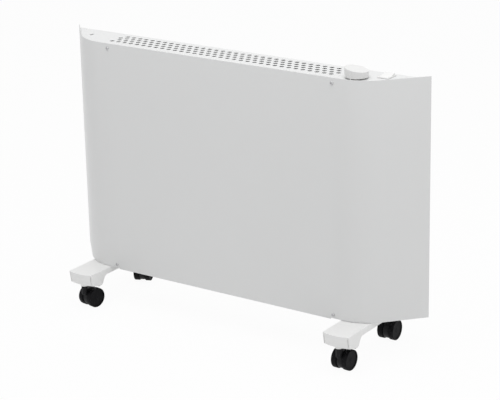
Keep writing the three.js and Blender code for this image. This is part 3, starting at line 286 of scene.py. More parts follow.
def swing(bm: BMesh, vert: BMVert, centre: tuple[float, float, float], angle: float,
          steps: int) -> BMVert:
    """Draws an arc from a vertex, round an upright axis.

    Args:
        bm: The mesh that it is drawn in.
        vert: Where it starts.
        centre: Its centre.
        angle: How far it turns.
        steps: Facets along it.

    Returns:
        The vertex at its end.
    """
    swung = bmesh.ops.spin(bm, geom=[vert], cent=centre, axis=Z_AXIS, steps=steps, angle=angle,
                           use_duplicate=False)
    return verts_in(swung["geom_last"])[0]


def arc(centre: tuple[float, float], radius: float, start: float, end: float,
        steps: int) -> Profile:
    """Points of a circular arc.

    Args:
        centre: Its centre.
        radius: Its radius.
        start: First angle in degrees.
        end: Last angle in degrees.
        steps: Facets along it.

    Returns:
        The points, both ends included.
    """
    angles = [math.radians(start + (end - start) * i / steps) for i in range(steps + 1)]
    return [(centre[0] + radius * math.cos(a), centre[1] + radius * math.sin(a)) for a in angles]


def slab(bm: BMesh, low: Vector, high: Vector, edge: float = 0.0,
         segments: int = 2) -> list[BMVert]:
    """Box between two corners, with rounded edges if a radius is given.

    Args:
        bm: The mesh that it is added to.
        low: Its lowest corner.
        high: Its highest corner.
        edge: Radius of its edges.
        segments: Facets across each edge.

    Returns:
        The vertices that were made.
    """
    before = set(bm.verts)
    size = high - low
    place = Matrix.Translation((low + high) / 2) @ Matrix.Diagonal((*size, 1))
    made = bmesh.ops.create_cube(bm, size=1, matrix=place)["verts"]
    if edge:
        round_edges(bm, edges_between(made), edge, segments)
    return [v for v in bm.verts if v not in before]


def move(bm: BMesh, matrix: Matrix, verts: list[BMVert] | None = None) -> None:
    """Places a mesh, or some of its vertices, by a matrix."""
    bmesh.ops.transform(bm, matrix=matrix, verts=bm.verts[:] if verts is None else verts)


def laid_along(axis: Vector, place: Vector) -> Matrix:
    """Turns a shape drawn round Z to stand along an axis at a place.

    Args:
        axis: Where Z goes.
        place: Where the origin goes.

    Returns:
        The matrix.
    """
    return Matrix.Translation(place) @ axis.to_track_quat("Z", "Y").to_matrix().to_4x4()


def mesh_of(bm: BMesh, name: str) -> bpy.types.Mesh:
    """A mesh with its faces pointing outwards, from a bmesh that is then freed.

    Args:
        bm: A closed body, or several.
        name: Name of the mesh.

    Returns:
        The mesh.
    """
    bmesh.ops.remove_doubles(bm, verts=bm.verts[:], dist=MERGE_DISTANCE)
    bmesh.ops.recalc_face_normals(bm, faces=bm.faces[:])
    mesh = bpy.data.meshes.new(name)
    bm.to_mesh(mesh)
    bm.free()
    return mesh


def in_scene(name: str, data: bpy.types.ID) -> bpy.types.Object:
    """Makes an object and puts it in the scene.

    Args:
        name: Its name.
        data: Its mesh, camera or lamp.

    Returns:
        The object.
    """
    made = bpy.data.objects.new(name, data)
    bpy.context.scene.collection.objects.link(made)
    return made


class Joining(Enum):
    """How two bodies are put together."""

    CUT = "DIFFERENCE"
    WELD = "UNION"


def combine(base: BMesh, other: BMesh, how: Joining) -> BMesh:
    """Cuts one closed body with another or welds them; both are used up.

    Args:
        base: The body that stays.
        other: The body that cuts it or is added to it.
        how: Cut or weld.

    Returns:
        The result.
    """
    kept = in_scene("base", mesh_of(base, "base"))
    tool = in_scene("tool", mesh_of(other, "tool"))
    step = kept.modifiers.new("step", "BOOLEAN")
    step.operation = how.value
    step.solver = "EXACT"
    step.object = tool
    evaluated = kept.evaluated_get(bpy.context.evaluated_depsgraph_get())
    result = bmesh.new()
    result.from_mesh(evaluated.to_mesh())
    evaluated.to_mesh_clear()
    for item in (kept, tool):
        mesh = item.data
        bpy.data.objects.remove(item)
        bpy.data.meshes.remove(mesh)
    bmesh.ops.dissolve_degenerate(result, dist=MERGE_DISTANCE, edges=result.edges[:])
    return result


# ------------------------------------------------------------------ finishes

MIX_SOCKETS = {"FLOAT": (2, 3, 0), "RGBA": (6, 7, 2)}  # both inputs and the output of a Mix node
NOISE_MEAN = 0.5
MOTTLE_DETAIL, FINE_DETAIL, BROAD_DETAIL, GLOSS_DETAIL, DUST_DETAIL = 3.0, 2.0, 1.0, 4.0, 5.0
DUST_FROM, DUST_FULL = 0.6, 1.0   # upward share of a normal
DUST_COLOUR = (0.42, 0.40, 0.37, 1.0)
DUST_SCALE = 25.0
WHITE = (1, 1, 1, 1)


class Graph:
    """A node tree that is being drawn."""

    def __init__(self, tree: bpy.types.NodeTree) -> None:
        """Keeps the tree and clears it."""
        self.tree = tree
        tree.nodes.clear()

    def add(self, kind: str, settings: dict | None = None, **inputs: object) -> bpy.types.Node:
        """Adds a node.

        Args:
            kind: Node type, without its ShaderNode prefix.
            settings: Properties of the node.
            inputs: Values or output sockets for its inputs, with _ for a space in a name.

        Returns:
            The node.
        """
        node = self.tree.nodes.new(kind if kind.startswith("Node") else f"ShaderNode{kind}")
        for name, value in (settings or {}).items():
            setattr(node, name, value)
        for name, value in inputs.items():
            self.feed(node.inputs[name.replace("_", " ")], value)
        return node

    def feed(self, socket: bpy.types.NodeSocket, value: object) -> None:
        """Links an output socket to an input, or sets the input's own value.

        Args:
            socket: The input.
            value: An output socket or a plain value.
        """
        if isinstance(value, bpy.types.NodeSocket):
            self.tree.links.new(value, socket)
        else:
            socket.default_value = value

    def calculate(self, operation: str, *values: object) -> bpy.types.NodeSocket:
        """Adds a Math node.

        Args:
            operation: What it works out.
            values: Its inputs in order, numbers or output sockets.

        Returns:
            Its output.
        """
        node = self.add("Math", {"operation": operation})
        for socket, value in zip(node.inputs, values):
            self.feed(socket, value)
        return node.outputs[0]

    def mix(self, kind: str, share: object, first: object, second: object) -> bpy.types.NodeSocket:
        """Adds a Mix node.

        Args:
            kind: FLOAT or RGBA.
            share: Share of the second value.
            first: First value.
            second: Second value.

        Returns:
            Its output.
        """
        node = self.add("Mix", {"data_type": kind})
        low, high, result = MIX_SOCKETS[kind]
        for index, value in ((0, share), (low, first), (high, second)):
            self.feed(node.inputs[index], value)
        return node.outputs[result]

    def mix_shaders(self, share: object, first: bpy.types.Node,
                    second: bpy.types.Node) -> bpy.types.NodeSocket:
        """Adds a Mix Shader node.

        Args:
            share: Share of the second shader.
            first: First shader's node.
            second: Second shader's node.

        Returns:
            Its output.
        """
        node = self.add("MixShader", Fac=share)
        self.feed(node.inputs[1], first.outputs[0])
        self.feed(node.inputs[2], second.outputs[0])
        return node.outputs[0]


class Effect(Enum):
    """Surface effects that several finishes share, each a node group."""

    MOTTLE = "mottle"
    RELIEF = "relief"
    GLOSS = "gloss"
    DUST = "settled_dust"


class EffectGroups:
    """Builds the shared node groups once and places them in materials."""

    def __init__(self) -> None:
        """Builds every group."""
        drawn = {
            Effect.MOTTLE: (self._mottle, "Color", ("Color", "Spread", "Scale")),
            Effect.RELIEF: (self._relief, "Height", ("Fine Scale", "Broad Scale", "Broad Share")),
            Effect.GLOSS: (self._gloss, "Roughness", ("Roughness", "Spread", "Scale")),
            Effect.DUST: (self._dust, "Color", ("Color", "Dust Color", "Amount", "Scale")),
        }
        self.groups = {effect: self._group(effect, *parts) for effect, parts in drawn.items()}

    @staticmethod
    def _group(effect: Effect, draw: Callable[[Graph, bpy.types.Node], bpy.types.NodeSocket],
               result: str, sockets: tuple[str, ...]) -> bpy.types.NodeTree:
        """Makes a group; sockets with Color in their names carry colours, the others numbers.

        Args:
            effect: The effect it is for.
            draw: Draws its nodes from its graph and input node, and gives their last output.
            result: Name of its output.
            sockets: Names of its inputs.

        Returns:
            The group.
        """
        group = bpy.data.node_groups.new(effect.value, "ShaderNodeTree")
        for name, way in (*((name, "INPUT") for name in sockets), (result, "OUTPUT")):
            kind = "NodeSocketColor" if "Color" in name else "NodeSocketFloat"
            group.interface.new_socket(name, in_out=way, socket_type=kind)
        graph = Graph(group)
        given, out = graph.add("NodeGroupInput"), graph.add("NodeGroupOutput")
        graph.feed(out.inputs[result], draw(graph, given))
        return group

    @staticmethod
    def _noise(graph: Graph, scale: object, detail: float) -> bpy.types.NodeSocket:
        """Noise over the piece's own coordinates, from 0 to 1."""
        place = graph.add("TexCoord").outputs["Object"]
        return graph.add("TexNoise", Vector=place, Scale=scale, Detail=detail).outputs["Fac"]

    def _swing(self, graph: Graph, given: bpy.types.Node, detail: float,
               middle: object) -> bpy.types.NodeSocket:
        """A value that noise moves to both sides of a middle.

        Args:
            graph: The group's graph.
            given: Its input node, with a Scale and a Spread.
            detail: Detail of the noise.
            middle: Number or output socket that it moves round.

        Returns:
            The value.
        """
        noise = self._noise(graph, given.outputs["Scale"], detail)
        centred = graph.calculate("SUBTRACT", noise, NOISE_MEAN)
        return graph.calculate("MULTIPLY_ADD", centred, given.outputs["Spread"], middle)

    def _mottle(self, graph: Graph, given: bpy.types.Node) -> bpy.types.NodeSocket:
        """Varies a colour's lightness in soft patches."""
        scaled = graph.add("VectorMath", {"operation": "SCALE"}, Vector=given.outputs["Color"],
                           Scale=self._swing(graph, given, MOTTLE_DETAIL, 1.0))
        return scaled.outputs[0]

    def _gloss(self, graph: Graph, given: bpy.types.Node) -> bpy.types.NodeSocket:
        """Varies a roughness, as handling and wiping do."""
        return self._swing(graph, given, GLOSS_DETAIL, given.outputs["Roughness"])

    def _relief(self, graph: Graph, given: bpy.types.Node) -> bpy.types.NodeSocket:
        """Gives the height of a fine grain over a broader wave.

        Args:
            graph: The group's graph.
            given: Its input node.

        Returns:
            The height.
        """
        fine = self._noise(graph, given.outputs["Fine Scale"], FINE_DETAIL)
        broad = self._noise(graph, given.outputs["Broad Scale"], BROAD_DETAIL)
        return graph.mix("FLOAT", given.outputs["Broad Share"], fine, broad)

    def _dust(self, graph: Graph, given: bpy.types.Node) -> bpy.types.NodeSocket:
        """Lays a thin uneven dust on faces that look up.

        Args:
            graph: The group's graph.
            given: Its input node.

        Returns:
            The dusted colour.
        """
        upward = graph.add("SeparateXYZ", Vector=graph.add("NewGeometry").outputs["Normal"])
        lying = graph.add("MapRange", From_Min=DUST_FROM, From_Max=DUST_FULL,
                          Value=upward.outputs["Z"])
        noise = self._noise(graph, given.outputs["Scale"], DUST_DETAIL)
        patch = graph.calculate("MULTIPLY", lying.outputs["Result"], noise)
        share = graph.calculate("MULTIPLY", patch, given.outputs["Amount"])
        return graph.mix("RGBA", share, given.outputs["Color"], given.outputs["Dust Color"])

    def place(self, graph: Graph, effect: Effect, **inputs: object) -> bpy.types.NodeSocket:
        """Adds a group to a material.

        Args:
            graph: The material's graph.
            effect: Which group.
            inputs: Its inputs, with _ for a space in a name.

        Returns:
            The group's output.
        """
        node = graph.tree.nodes.new("ShaderNodeGroup")
        node.node_tree = self.groups[effect]
        for name, value in inputs.items():
            graph.feed(node.inputs[name.replace("_", " ")], value)
        return node.outputs[0]


@dataclass(frozen=True)
class Finish:
    """A surface finish: colour, gloss and the relief of its grain."""

    name: str
    colour: tuple[float, float, float]
    roughness: float = 0.45
    metallic: float = 0.0
    coat: float = 0.0
    coat_roughness: float = 0.15
    specular: float = 0.5
    mottle: float = 0.02
    mottle_scale: float = 18.0
    gloss_spread: float = 0.06
    gloss_scale: float = 60.0
    fine_scale: float = 1400.0
    broad_scale: float = 300.0
    broad_share: float = 0.4
    relief: float = 0.03 * MM
    relief_strength: float = 0.25
    dust: float = 0.0

    def colour_socket(self, graph: Graph, groups: EffectGroups) -> bpy.types.NodeSocket:
        """Colour of the surface, mottled and dusted.

        Args:
            graph: The material's graph.
            groups: The shared effects.

        Returns:
            A colour output.
        """
        colour = groups.place(graph, Effect.MOTTLE, Color=(*self.colour, 1.0), Spread=self.mottle,
                              Scale=self.mottle_scale)
        if not self.dust:
            return colour
        return groups.place(graph, Effect.DUST, Color=colour, Dust_Color=DUST_COLOUR,
                            Amount=self.dust, Scale=DUST_SCALE)

    def build(self, groups: EffectGroups) -> bpy.types.Material:
        """Makes the material.

        Args:
            groups: The shared effects.

        Returns:
            The material.
        """
        material = bpy.data.materials.new(self.name)
        material.use_nodes = True
        material.diffuse_color = (*self.colour, 1.0)
        graph = Graph(material.node_tree)
        gloss = groups.place(graph, Effect.GLOSS, Roughness=self.roughness,
                             Spread=self.gloss_spread, Scale=self.gloss_scale)
        height = groups.place(graph, Effect.RELIEF, Fine_Scale=self.fine_scale,
                              Broad_Scale=self.broad_scale, Broad_Share=self.broad_share)
        bump = graph.add("Bump", Strength=self.relief_strength, Distance=self.relief,
                         Height=height)
        shader = graph.add(
            "BsdfPrincipled", Base_Color=self.colour_socket(graph, groups), Roughness=gloss,
            Metallic=self.metallic, Coat_Weight=self.coat, Coat_Roughness=self.coat_roughness,
            Specular_IOR_Level=self.specular, Normal=bump.outputs["Normal"])
        graph.add("OutputMaterial", Surface=shader.outputs["BSDF"])
        return material


POWDER_COAT = Finish("white_powder_coat", (0.795, 0.80, 0.80), roughness=0.42, coat=0.08,
                     mottle=0.012, fine_scale=900.0, broad_scale=260.0, relief=0.05 * MM,
                     relief_strength=0.3, dust=0.03)
SATIN_MOULDING = Finish("white_moulding", (0.90, 0.90, 0.895), roughness=0.38, mottle=0.015,
                        fine_scale=2200.0, relief=0.02 * MM, dust=0.04)
KNOB_MOULDING = Finish("knob_moulding", (0.81, 0.81, 0.805), roughness=0.32, mottle=0.01,
                       fine_scale=2600.0, relief=0.015 * MM, dust=0.02)
CASTOR_NYLON = Finish("castor_nylon", (0.006, 0.006, 0.007), roughness=0.5, specular=0.2,
                      mottle=0.3, mottle_scale=120.0, fine_scale=1600.0, dust=0.015)
CASTOR_TREAD = Finish("castor_tread", (0.005, 0.005, 0.006), roughness=0.6, specular=0.1,
                      mottle=0.35, mottle_scale=150.0, gloss_spread=0.12, fine_scale=1200.0,
                      relief=0.05 * MM, dust=0.015)
SCREW_STEEL = Finish("screw_steel", (0.58, 0.58, 0.59), roughness=0.35, metallic=1.0, mottle=0.15,
                     mottle_scale=90.0, gloss_spread=0.12)
ZINC = Finish("zinc_plate", (0.42, 0.43, 0.44), roughness=0.35, metallic=1.0, mottle=0.15,
              mottle_scale=90.0, gloss_spread=0.12)
GALVANISED = Finish("galvanised_sheet", (0.72, 0.73, 0.74), roughness=0.45, metallic=1.0,
                    mottle=0.25, mottle_scale=45.0, gloss_spread=0.2)
ALUMINIUM = Finish("extruded_aluminium", (0.80, 0.80, 0.81), roughness=0.5, metallic=1.0,
                   mottle=0.1, gloss_spread=0.12, fine_scale=1000.0)
BRASS = Finish("turned_brass", (0.62, 0.45, 0.18), roughness=0.3, metallic=1.0, mottle=0.1)
COPPER = Finish("drawn_copper", (0.60, 0.29, 0.17), roughness=0.33, metallic=1.0, mottle=0.15)
CERAMIC = Finish("unglazed_ceramic", (0.72, 0.68, 0.60), roughness=0.75, mottle=0.08,
                 mottle_scale=140.0, relief=0.06 * MM)
BROWN_MOULDING = Finish("brown_moulding", (0.045, 0.033, 0.026), roughness=0.42, mottle=0.2,
                        mottle_scale=80.0)
WHITE_TERMINAL = Finish("terminal_moulding", (0.74, 0.74, 0.70), roughness=0.5)
BLACK_GLAND = Finish("black_gland", (0.018, 0.018, 0.019), roughness=0.5, mottle=0.2,
                     mottle_scale=120.0)
BROWN_LEAD = Finish("brown_lead", (0.14, 0.06, 0.028), roughness=0.5)
BLUE_LEAD = Finish("blue_lead", (0.03, 0.10, 0.36), roughness=0.5)
GREEN_LEAD = Finish("green_lead", (0.16, 0.33, 0.06), roughness=0.5)

FRAME_FINISHES = {
    "partition_left": GALVANISED, "partition_right": GALVANISED,
    "heating_element": ALUMINIUM, "heating_rod": ZINC,
    "insulator_left": CERAMIC, "insulator_right": CERAMIC,
    "thermostat_body": BROWN_MOULDING, "thermostat_nut": BRASS, "thermostat_spindle": BRASS,
    "thermal_cutout": BROWN_MOULDING, "terminal_block": WHITE_TERMINAL,
    "gland_nut": BLACK_GLAND, "sensor_bulb": COPPER, "sensor_clip": WHITE_TERMINAL,
    "capillary_tube": COPPER, "lead_supply": BROWN_LEAD, "lead_thermostat": BROWN_LEAD,
    "lead_cutout": BROWN_LEAD, "lead_element": BROWN_LEAD, "lead_neutral": BLUE_LEAD,
    "lead_earth": GREEN_LEAD,
}


class Workshop:
    """Holds the frame and the materials, and turns a bmesh into a finished piece."""

    def __init__(self, frame: dict) -> None:
        """Keeps the frame and builds the shared effects.
        """
        self.frame = frame
        self.groups = EffectGroups()
        self.materials: dict[str, bpy.types.Material] = {}

    def material(self, finish: Finish) -> bpy.types.Material:
        """The material of a finish, made on its first use.

        Args:
            finish: The finish.

        Returns:
            Its material.
        """
        if finish.name not in self.materials:
            self.materials[finish.name] = finish.build(self.groups)
        return self.materials[finish.name]

    def piece(self, bm: BMesh, name: str, finish: Finish, body: str, replaces: list[str],
              slot: str) -> None:
        """Makes a finished piece.

        Args:
            bm: Its closed mesh, in place.
            name: Its name.
            finish: Its surface.
            body: The moving body that it rides on.
            replaces: The frame's nodes that it stands for.
            slot: The record's material slot; not used.
        """
        mesh = mesh_of(bm, name)
        mesh.shade_smooth()
        mesh.set_sharp_from_angle(angle=SHARP_ANGLE)
        mesh.materials.append(self.material(finish))
        made = in_scene(name, mesh)
        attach(made, body)
        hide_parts(*replaces)
        log.info("%s: %d faces", name, len(mesh.polygons))

    def dress_frame(self) -> None:
        """Gives every frame node that stays in view its finish."""
        for name, finish in FRAME_FINISHES.items():
            node = self.frame["nodes"][name]
            if not node.material_slots:
                node.data.materials.append(None)
            for slot in node.material_slots:
                slot.material = self.material(finish)
            log.info("%s: %s", name, finish.name)


# ------------------------------------------------------------------ screws


@dataclass(frozen=True)
class Screw:
    """A pan-head screw with a cross recess. The shares are of its head's radius or height."""

    radius: float
    height: float
    shank: float
    tip: tuple[float, float] = (0.4 * MM, 0.8 * MM)
    facets: int = 28
    corner_share: float = 0.55
    corner_steps: int = 5
    arm_share: float = 0.66
    arm_width_share: float = 0.25
    recess_floor_share: float = 0.3
    recess_turn: float = math.radians(20)

    def body(self, length: float) -> BMesh:
        """Its body, with its seat on z = 0 and its head above.

        Args:
            length: Length of its shank.

        Returns:
            Its mesh.
        """
        radius, height, shank = self.radius, self.height, self.shank
        corner = self.corner_share * height
        ease, rise = self.tip
        profile = [(0, -length), (shank - ease, -length), (shank, -length + rise), (shank, 0),
                   (radius, 0)]
        profile += arc((radius - corner, height - corner), corner, 0, 90, self.corner_steps)
        bm = turned([*profile, (0, height)], self.facets)
        arm, width = self.arm_share * radius, self.arm_width_share * radius
        for quarter in (0, math.pi / 2):
            recess = bmesh.new()
            slab(recess, Vector((-arm, -width, height * self.recess_floor_share)),
                 Vector((arm, width, height * 2)))
            move(recess, Matrix.Rotation(quarter + self.recess_turn, 4, "Z"))
            bm = combine(bm, recess, Joining.CUT)
        return bm


# ------------------------------------------------------------------ casing


@dataclass
class Casing:
    """Bent front shell, top and bottom plates, rear panel and the four front screws."""

    shop: Workshop
    half_width: float
    front_y: float
    rear_y: float
    bottom: float
    top: float
    flare: float = math.radians(42.3)
    corner_radius: float = 91 * MM
    sheet: float = 1.2 * MM
    bend_steps: int = 20
    apron_drop: float = 2 * MM
    apron_inset: float = 22.2 * MM
    shell_edge: float = 0.45 * MM
    rear_setback: float = 15 * MM
    top_recess: float = 1 * MM
    rim: float = 0.3 * MM
    lip_height: float = 18 * MM
    lip_inset: float = 7.2 * MM
    hole_radius: float = 4.3 * MM
    hole_sides: int = 24
    hole_pitch: float = 14.4 * MM
    hole_rows: int = 4
    hole_field: float = 42 * MM
    partition_inset: float = 15.2 * MM
    hole_end: float = 4 * MM
    intake_size: tuple[float, float] = (26 * MM, 7 * MM)
    intake_pitch: tuple[float, float] = (36 * MM, 16 * MM)
    vent_size: tuple[float, float] = (7 * MM, 34 * MM)
    vent_pitch: float = 30 * MM
    vent_z: float = 120 * MM
    hook_x: float = 200 * MM
    hook_drop: float = 82 * MM
    hook_radius: float = 6 * MM
    hook_slot: tuple[float, float] = (3 * MM, 16 * MM)
    flange_inset: float = 14.3 * MM
    flange_depth: float = 14 * MM
    notch: tuple[float, float] = (-348.5 * MM, 5 * MM)
    slot: tuple[float, float, float, float] = (-312.5 * MM, -3.5 * MM, 2 * MM, 5.5 * MM)
    slot_corner: float = 0.8 * MM
    intake_grid: tuple[int, int] = (12, 3)
    vent_count: int = 14
    hook_steps: tuple[int, int] = (20, 8)
    panel_corner: float = 2 * MM
    shell_crease: float = 60.0
    bush_hole: float = 5.1 * MM
    switch_hole_corner: float = 1 * MM
    switch_hole_sides: int = 8
    switch_hole_inset: float = 1.7 * MM
    foot_screw_hole: float = 2.7 * MM
    gland_hole: float = 7.8 * MM
    notch_reach: float = 5 * MM
    row_share: float = math.sin(math.radians(60))
    screw: Screw = Screw(radius=3 * MM, height=1.7 * MM, shank=1.8 * MM)

    @classmethod
    def from_frame(cls, shop: Workshop) -> Casing:
        """A casing of the frame's size.

        Args:
            shop: Where its pieces are made.

        Returns:
            The casing.
        """
        low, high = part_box("front_shell")
        return cls(shop, half_width=high.x, front_y=low.y, rear_y=high.y,
                   bottom=low.z + cls.apron_drop, top=high.z)

    @property
    def inset(self) -> float:
        """Distance from the shell's outer face to what lies inside it."""
        return self.sheet + SEAT_GAP

    @property
    def back(self) -> float:
        """Depth of the rear panel's outer face and of the plates' rear edges."""
        return self.rear_y - self.rear_setback

    @property
    def flat_half(self) -> float:
        """Half width of the flat front.

        Returns:
            The half width.
        """
        depth = self.rear_y - self.front_y
        tangent = self.corner_radius * math.tan((math.pi / 2 - self.flare) / 2)
        return self.half_width - depth * math.tan(self.flare) - tangent

    def half_width_at(self, y: float, inset: float) -> float:
        """Half width at a depth, a distance in from the outer face."""
        return (self.half_width - (self.rear_y - y) * math.tan(self.flare)
                - inset / math.cos(self.flare))

    def plan(self, bm: BMesh, inset: float, back_y: float) -> None:
        """Draws the plan of the front and sides as an open line at z = 0.

        Args:
            bm: An empty mesh.
            inset: Distance in from the outer face.
            back_y: Where the line ends at the rear.
        """
        front = self.front_y + inset
        middle = bm.verts.new((0, front, 0))
        apron = bm.verts.new((self.flat_half - self.apron_inset, front, 0))
        bend = bm.verts.new((self.flat_half, front, 0))
        bm.edges.new((middle, apron))
        bm.edges.new((apron, bend))
        centre = (self.flat_half, self.front_y + self.corner_radius, 0)
        last = swing(bm, bend, centre, math.pi / 2 - self.flare, self.bend_steps)
        end = bmesh.ops.extrude_vert_indiv(bm, verts=[last])["verts"][0]
        end.co = (self.half_width_at(back_y, inset), back_y, 0)
        bmesh.ops.mirror(bm, geom=bm.verts[:] + bm.edges[:], axis="X", merge_dist=MERGE_DISTANCE)

    def painted(self, bm: BMesh, name: str, node: str) -> None:
        """Makes a painted piece that stands for a frame node."""
        self.shop.piece(bm, name, POWDER_COAT, "casing", [node], "white_paint")

    def shell(self) -> None:
        """Builds the front and both sides from one bent sheet."""
        bm = bmesh.new()
        self.plan(bm, 0, self.rear_y)
        bmesh.ops.translate(bm, verts=bm.verts[:], vec=Z_AXIS * self.bottom)
        lower = bm.edges[:]
        raised = bmesh.ops.extrude_edge_only(bm, edges=lower)
        carry(bm, raised, Z_AXIS * (self.top - self.bottom))
        reach = self.flat_half - self.apron_inset + MERGE_DISTANCE
        apron = [e for e in lower if all(abs(v.co.x) < reach for v in e.verts)]
        dropped = bmesh.ops.extrude_edge_only(bm, edges=apron)
        carry(bm, dropped, -Z_AXIS * self.apron_drop)
        bmesh.ops.recalc_face_normals(bm, faces=bm.faces[:])
        front = min(bm.faces, key=lambda f: f.calc_center_median().y)
        if front.normal.y > 0:
            bmesh.ops.reverse_faces(bm, faces=bm.faces[:])
        bmesh.ops.solidify(bm, geom=bm.faces[:], thickness=self.sheet)
        bmesh.ops.recalc_face_normals(bm, faces=bm.faces[:])
        round_edges(bm, sharp_edges(bm, self.shell_crease), self.shell_edge)
        self.painted(bm, "shell_sheet", "front_shell")

    def outline(self, bm: BMesh) -> list[BMEdge]:
        """Draws the closed outline of the top and bottom plates at z = 0.

        Args:
            bm: An empty mesh.

        Returns:
            Its edges.
        """
        self.plan(bm, self.inset, self.back)
        ends = [v for v in bm.verts if len(v.link_edges) == 1]
        bm.edges.new(ends)
        return bm.edges[:]

    def lip(self, bm: BMesh, low_z: float, high_z: float) -> None:
        """Adds the folded lip behind the front face.

        Args:
            bm: The plate that it is added to.
            low_z: Height of its lower edge.
            high_z: Height of its upper edge.
        """
        half = self.flat_half - self.lip_inset
        front = self.front_y + self.inset
        slab(bm, Vector((-half, front, low_z)), Vector((half, front + self.sheet, high_z)),
             self.rim)

    def air_holes(self, bm: BMesh) -> list[BMEdge]:
        """Draws the staggered rows of air holes.

        Args:
            bm: The mesh that they are drawn in.

        Returns:
            Their edges.
        """
        edges: list[BMEdge] = []
        partition = self.flat_half - self.partition_inset
        row_pitch = self.hole_pitch * self.row_share
        for row in range(self.hole_rows):
            y = self.front_y + self.hole_field + (row - (self.hole_rows - 1) / 2) * row_pitch
            x = -partition - self.hole_end + (row % 2) * self.hole_pitch / 2
            while x <= partition - self.hole_end:
                edges += opening(bm, (x, y), self.hole_radius, self.hole_sides)
                x += self.hole_pitch
        return edges

    def top_plate(self) -> None:
        """Builds the perforated top."""
        bm = bmesh.new()
        loops = self.outline(bm)
        loops += self.air_holes(bm)
        knob = middle_of("thermostat_spindle")
        loops += opening(bm, (knob.x, knob.y), self.bush_hole, ROUND_SIDES)
        low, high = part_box("switch_body")
        switch = middle_of("switch_body")
        stretch = ((high.x - low.x) / 2 - self.switch_hole_inset,
                   (high.y - low.y) / 2 - self.switch_hole_inset)
        loops += opening(bm, (switch.x, switch.y), self.switch_hole_corner,
                         self.switch_hole_sides, stretch)
        x, y, half_x, half_y = self.slot
        corner = self.slot_corner
        loops += opening(bm, (x, y), corner, CORNER_SIDES, (half_x - corner, half_y - corner))
        plate(bm, loops, self.sheet, self.rim)
        level = self.top - self.top_recess
        move(bm, Matrix.Translation(Z_AXIS * level))
        place, size = self.notch
        notch = bmesh.new()
        slab(notch, Vector((place - size / 2, self.back - size, level - self.notch_reach)),
             Vector((place + size / 2, self.back + OVERLAP, level + self.notch_reach)))
        bm = combine(bm, notch, Joining.CUT)
        self.lip(bm, level - self.lip_height, level - self.sheet / 2)
        self.painted(bm, "top_plate", "top_grille")

    def bottom_plate(self) -> None:
        """Builds the bottom with its intake slots."""
        bm = bmesh.new()
        loops = self.outline(bm)
        middle_y = (self.front_y + self.inset + self.back) / 2
        length, width = self.intake_size
        columns, rows = self.intake_grid
        for column in range(columns):
            for row in range(rows):
                place = ((column - (columns - 1) / 2) * self.intake_pitch[0],
                         middle_y + (row - (rows - 1) / 2) * self.intake_pitch[1])
                loops += opening(bm, place, width / 2, SLOT_SIDES, ((length - width) / 2, 0))
        for side in SIDES:
            for end in ENDS:
                screw = middle_of(f"foot_screw_{end}_{side}")
                loops += opening(bm, (screw.x, screw.y), self.foot_screw_hole, SLOT_SIDES)
        plate(bm, loops, self.sheet, self.rim)
        level = self.bottom + self.sheet
        move(bm, Matrix.Translation(Z_AXIS * level))
        self.lip(bm, level - self.sheet / 2, self.bottom + self.lip_height)
        self.painted(bm, "bottom_plate", "bottom_grille")

    def keyhole(self, bm: BMesh, x: float, z: float) -> list[BMEdge]:
        """Draws a keyhole slot, its narrow end up, with z drawn as y.

        Args:
            bm: The mesh that it is drawn in.
            x: Middle of its head.
            z: Height of its head.

        Returns:
            Its edges.
        """
        before = set(bm.edges)
        half, length = self.hook_slot
        head_steps, crown_steps = self.hook_steps
        gap = math.asin(half / self.hook_radius)
        start = bm.verts.new((x - half, z + self.hook_radius * math.cos(gap), 0))
        last = swing(bm, start, (x, z, 0), 2 * math.pi - 2 * gap, head_steps)
        shoulder = bm.verts.new((x + half, z + length - half, 0))
        bm.edges.new((last, shoulder))
        crown = swing(bm, shoulder, (x, z + length - half, 0), math.pi, crown_steps)
        bm.edges.new((crown, start))
        return [e for e in bm.edges if e not in before]

    def rear_panel(self) -> None:
        """Builds the rear panel, drawn face down and then stood up."""
        bm = bmesh.new()
        front_y = self.back - self.sheet
        half = self.half_width_at(front_y, self.inset)
        low, high = self.bottom + self.inset, self.top - self.top_recess - self.inset
        corner = self.panel_corner
        loops = opening(bm, (0, (low + high) / 2), corner, SLOT_SIDES,
                        (half - corner, (high - low) / 2 - corner))
        width, height = self.vent_size
        for i in range(self.vent_count):
            place = ((i - (self.vent_count - 1) / 2) * self.vent_pitch, self.vent_z)
            loops += opening(bm, place, width / 2, SLOT_SIDES, (0, (height - width) / 2))
        for side in SIDES.values():
            loops += self.keyhole(bm, side * self.hook_x, self.top - self.hook_drop)
        gland = middle_of("cable_gland")
        loops += opening(bm, (gland.x, gland.z), self.gland_hole, ROUND_SIDES)
        plate(bm, loops, self.sheet, self.rim)
        move(bm, Matrix.Translation(Y_AXIS * front_y) @ Matrix.Rotation(math.pi / 2, 4, "X"))
        for side in SIDES.values():
            outer = side * (half - self.flange_inset)
            inner = outer - side * self.sheet
            slab(bm, Vector((min(outer, inner), front_y - self.flange_depth, low)),
                 Vector((max(outer, inner), front_y + self.sheet / 2, high)), self.rim)
        self.painted(bm, "back_sheet", "rear_panel")

    def screws(self) -> None:
        """Builds the four front screws with their cross recesses."""
        for level in ("top", "bottom"):
            for side in SIDES:
                node = f"front_screw_{level}_{side}"
                low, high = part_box(node)
                bm = self.screw.body(high.y - low.y - self.screw.height)
                seat = middle_of(node)
                seat.y = low.y + self.screw.height
                move(bm, laid_along(-Y_AXIS, seat))
                self.shop.piece(bm, f"casing_screw_{level}_{side}", SCREW_STEEL, "casing", [node],
                                "bright_steel")

    def build(self) -> None:
        """Builds the whole casing."""
        self.shell()
        self.top_plate()
        self.bottom_plate()
        self.rear_panel()
        self.screws()


# ------------------------------------------------------------------ controls


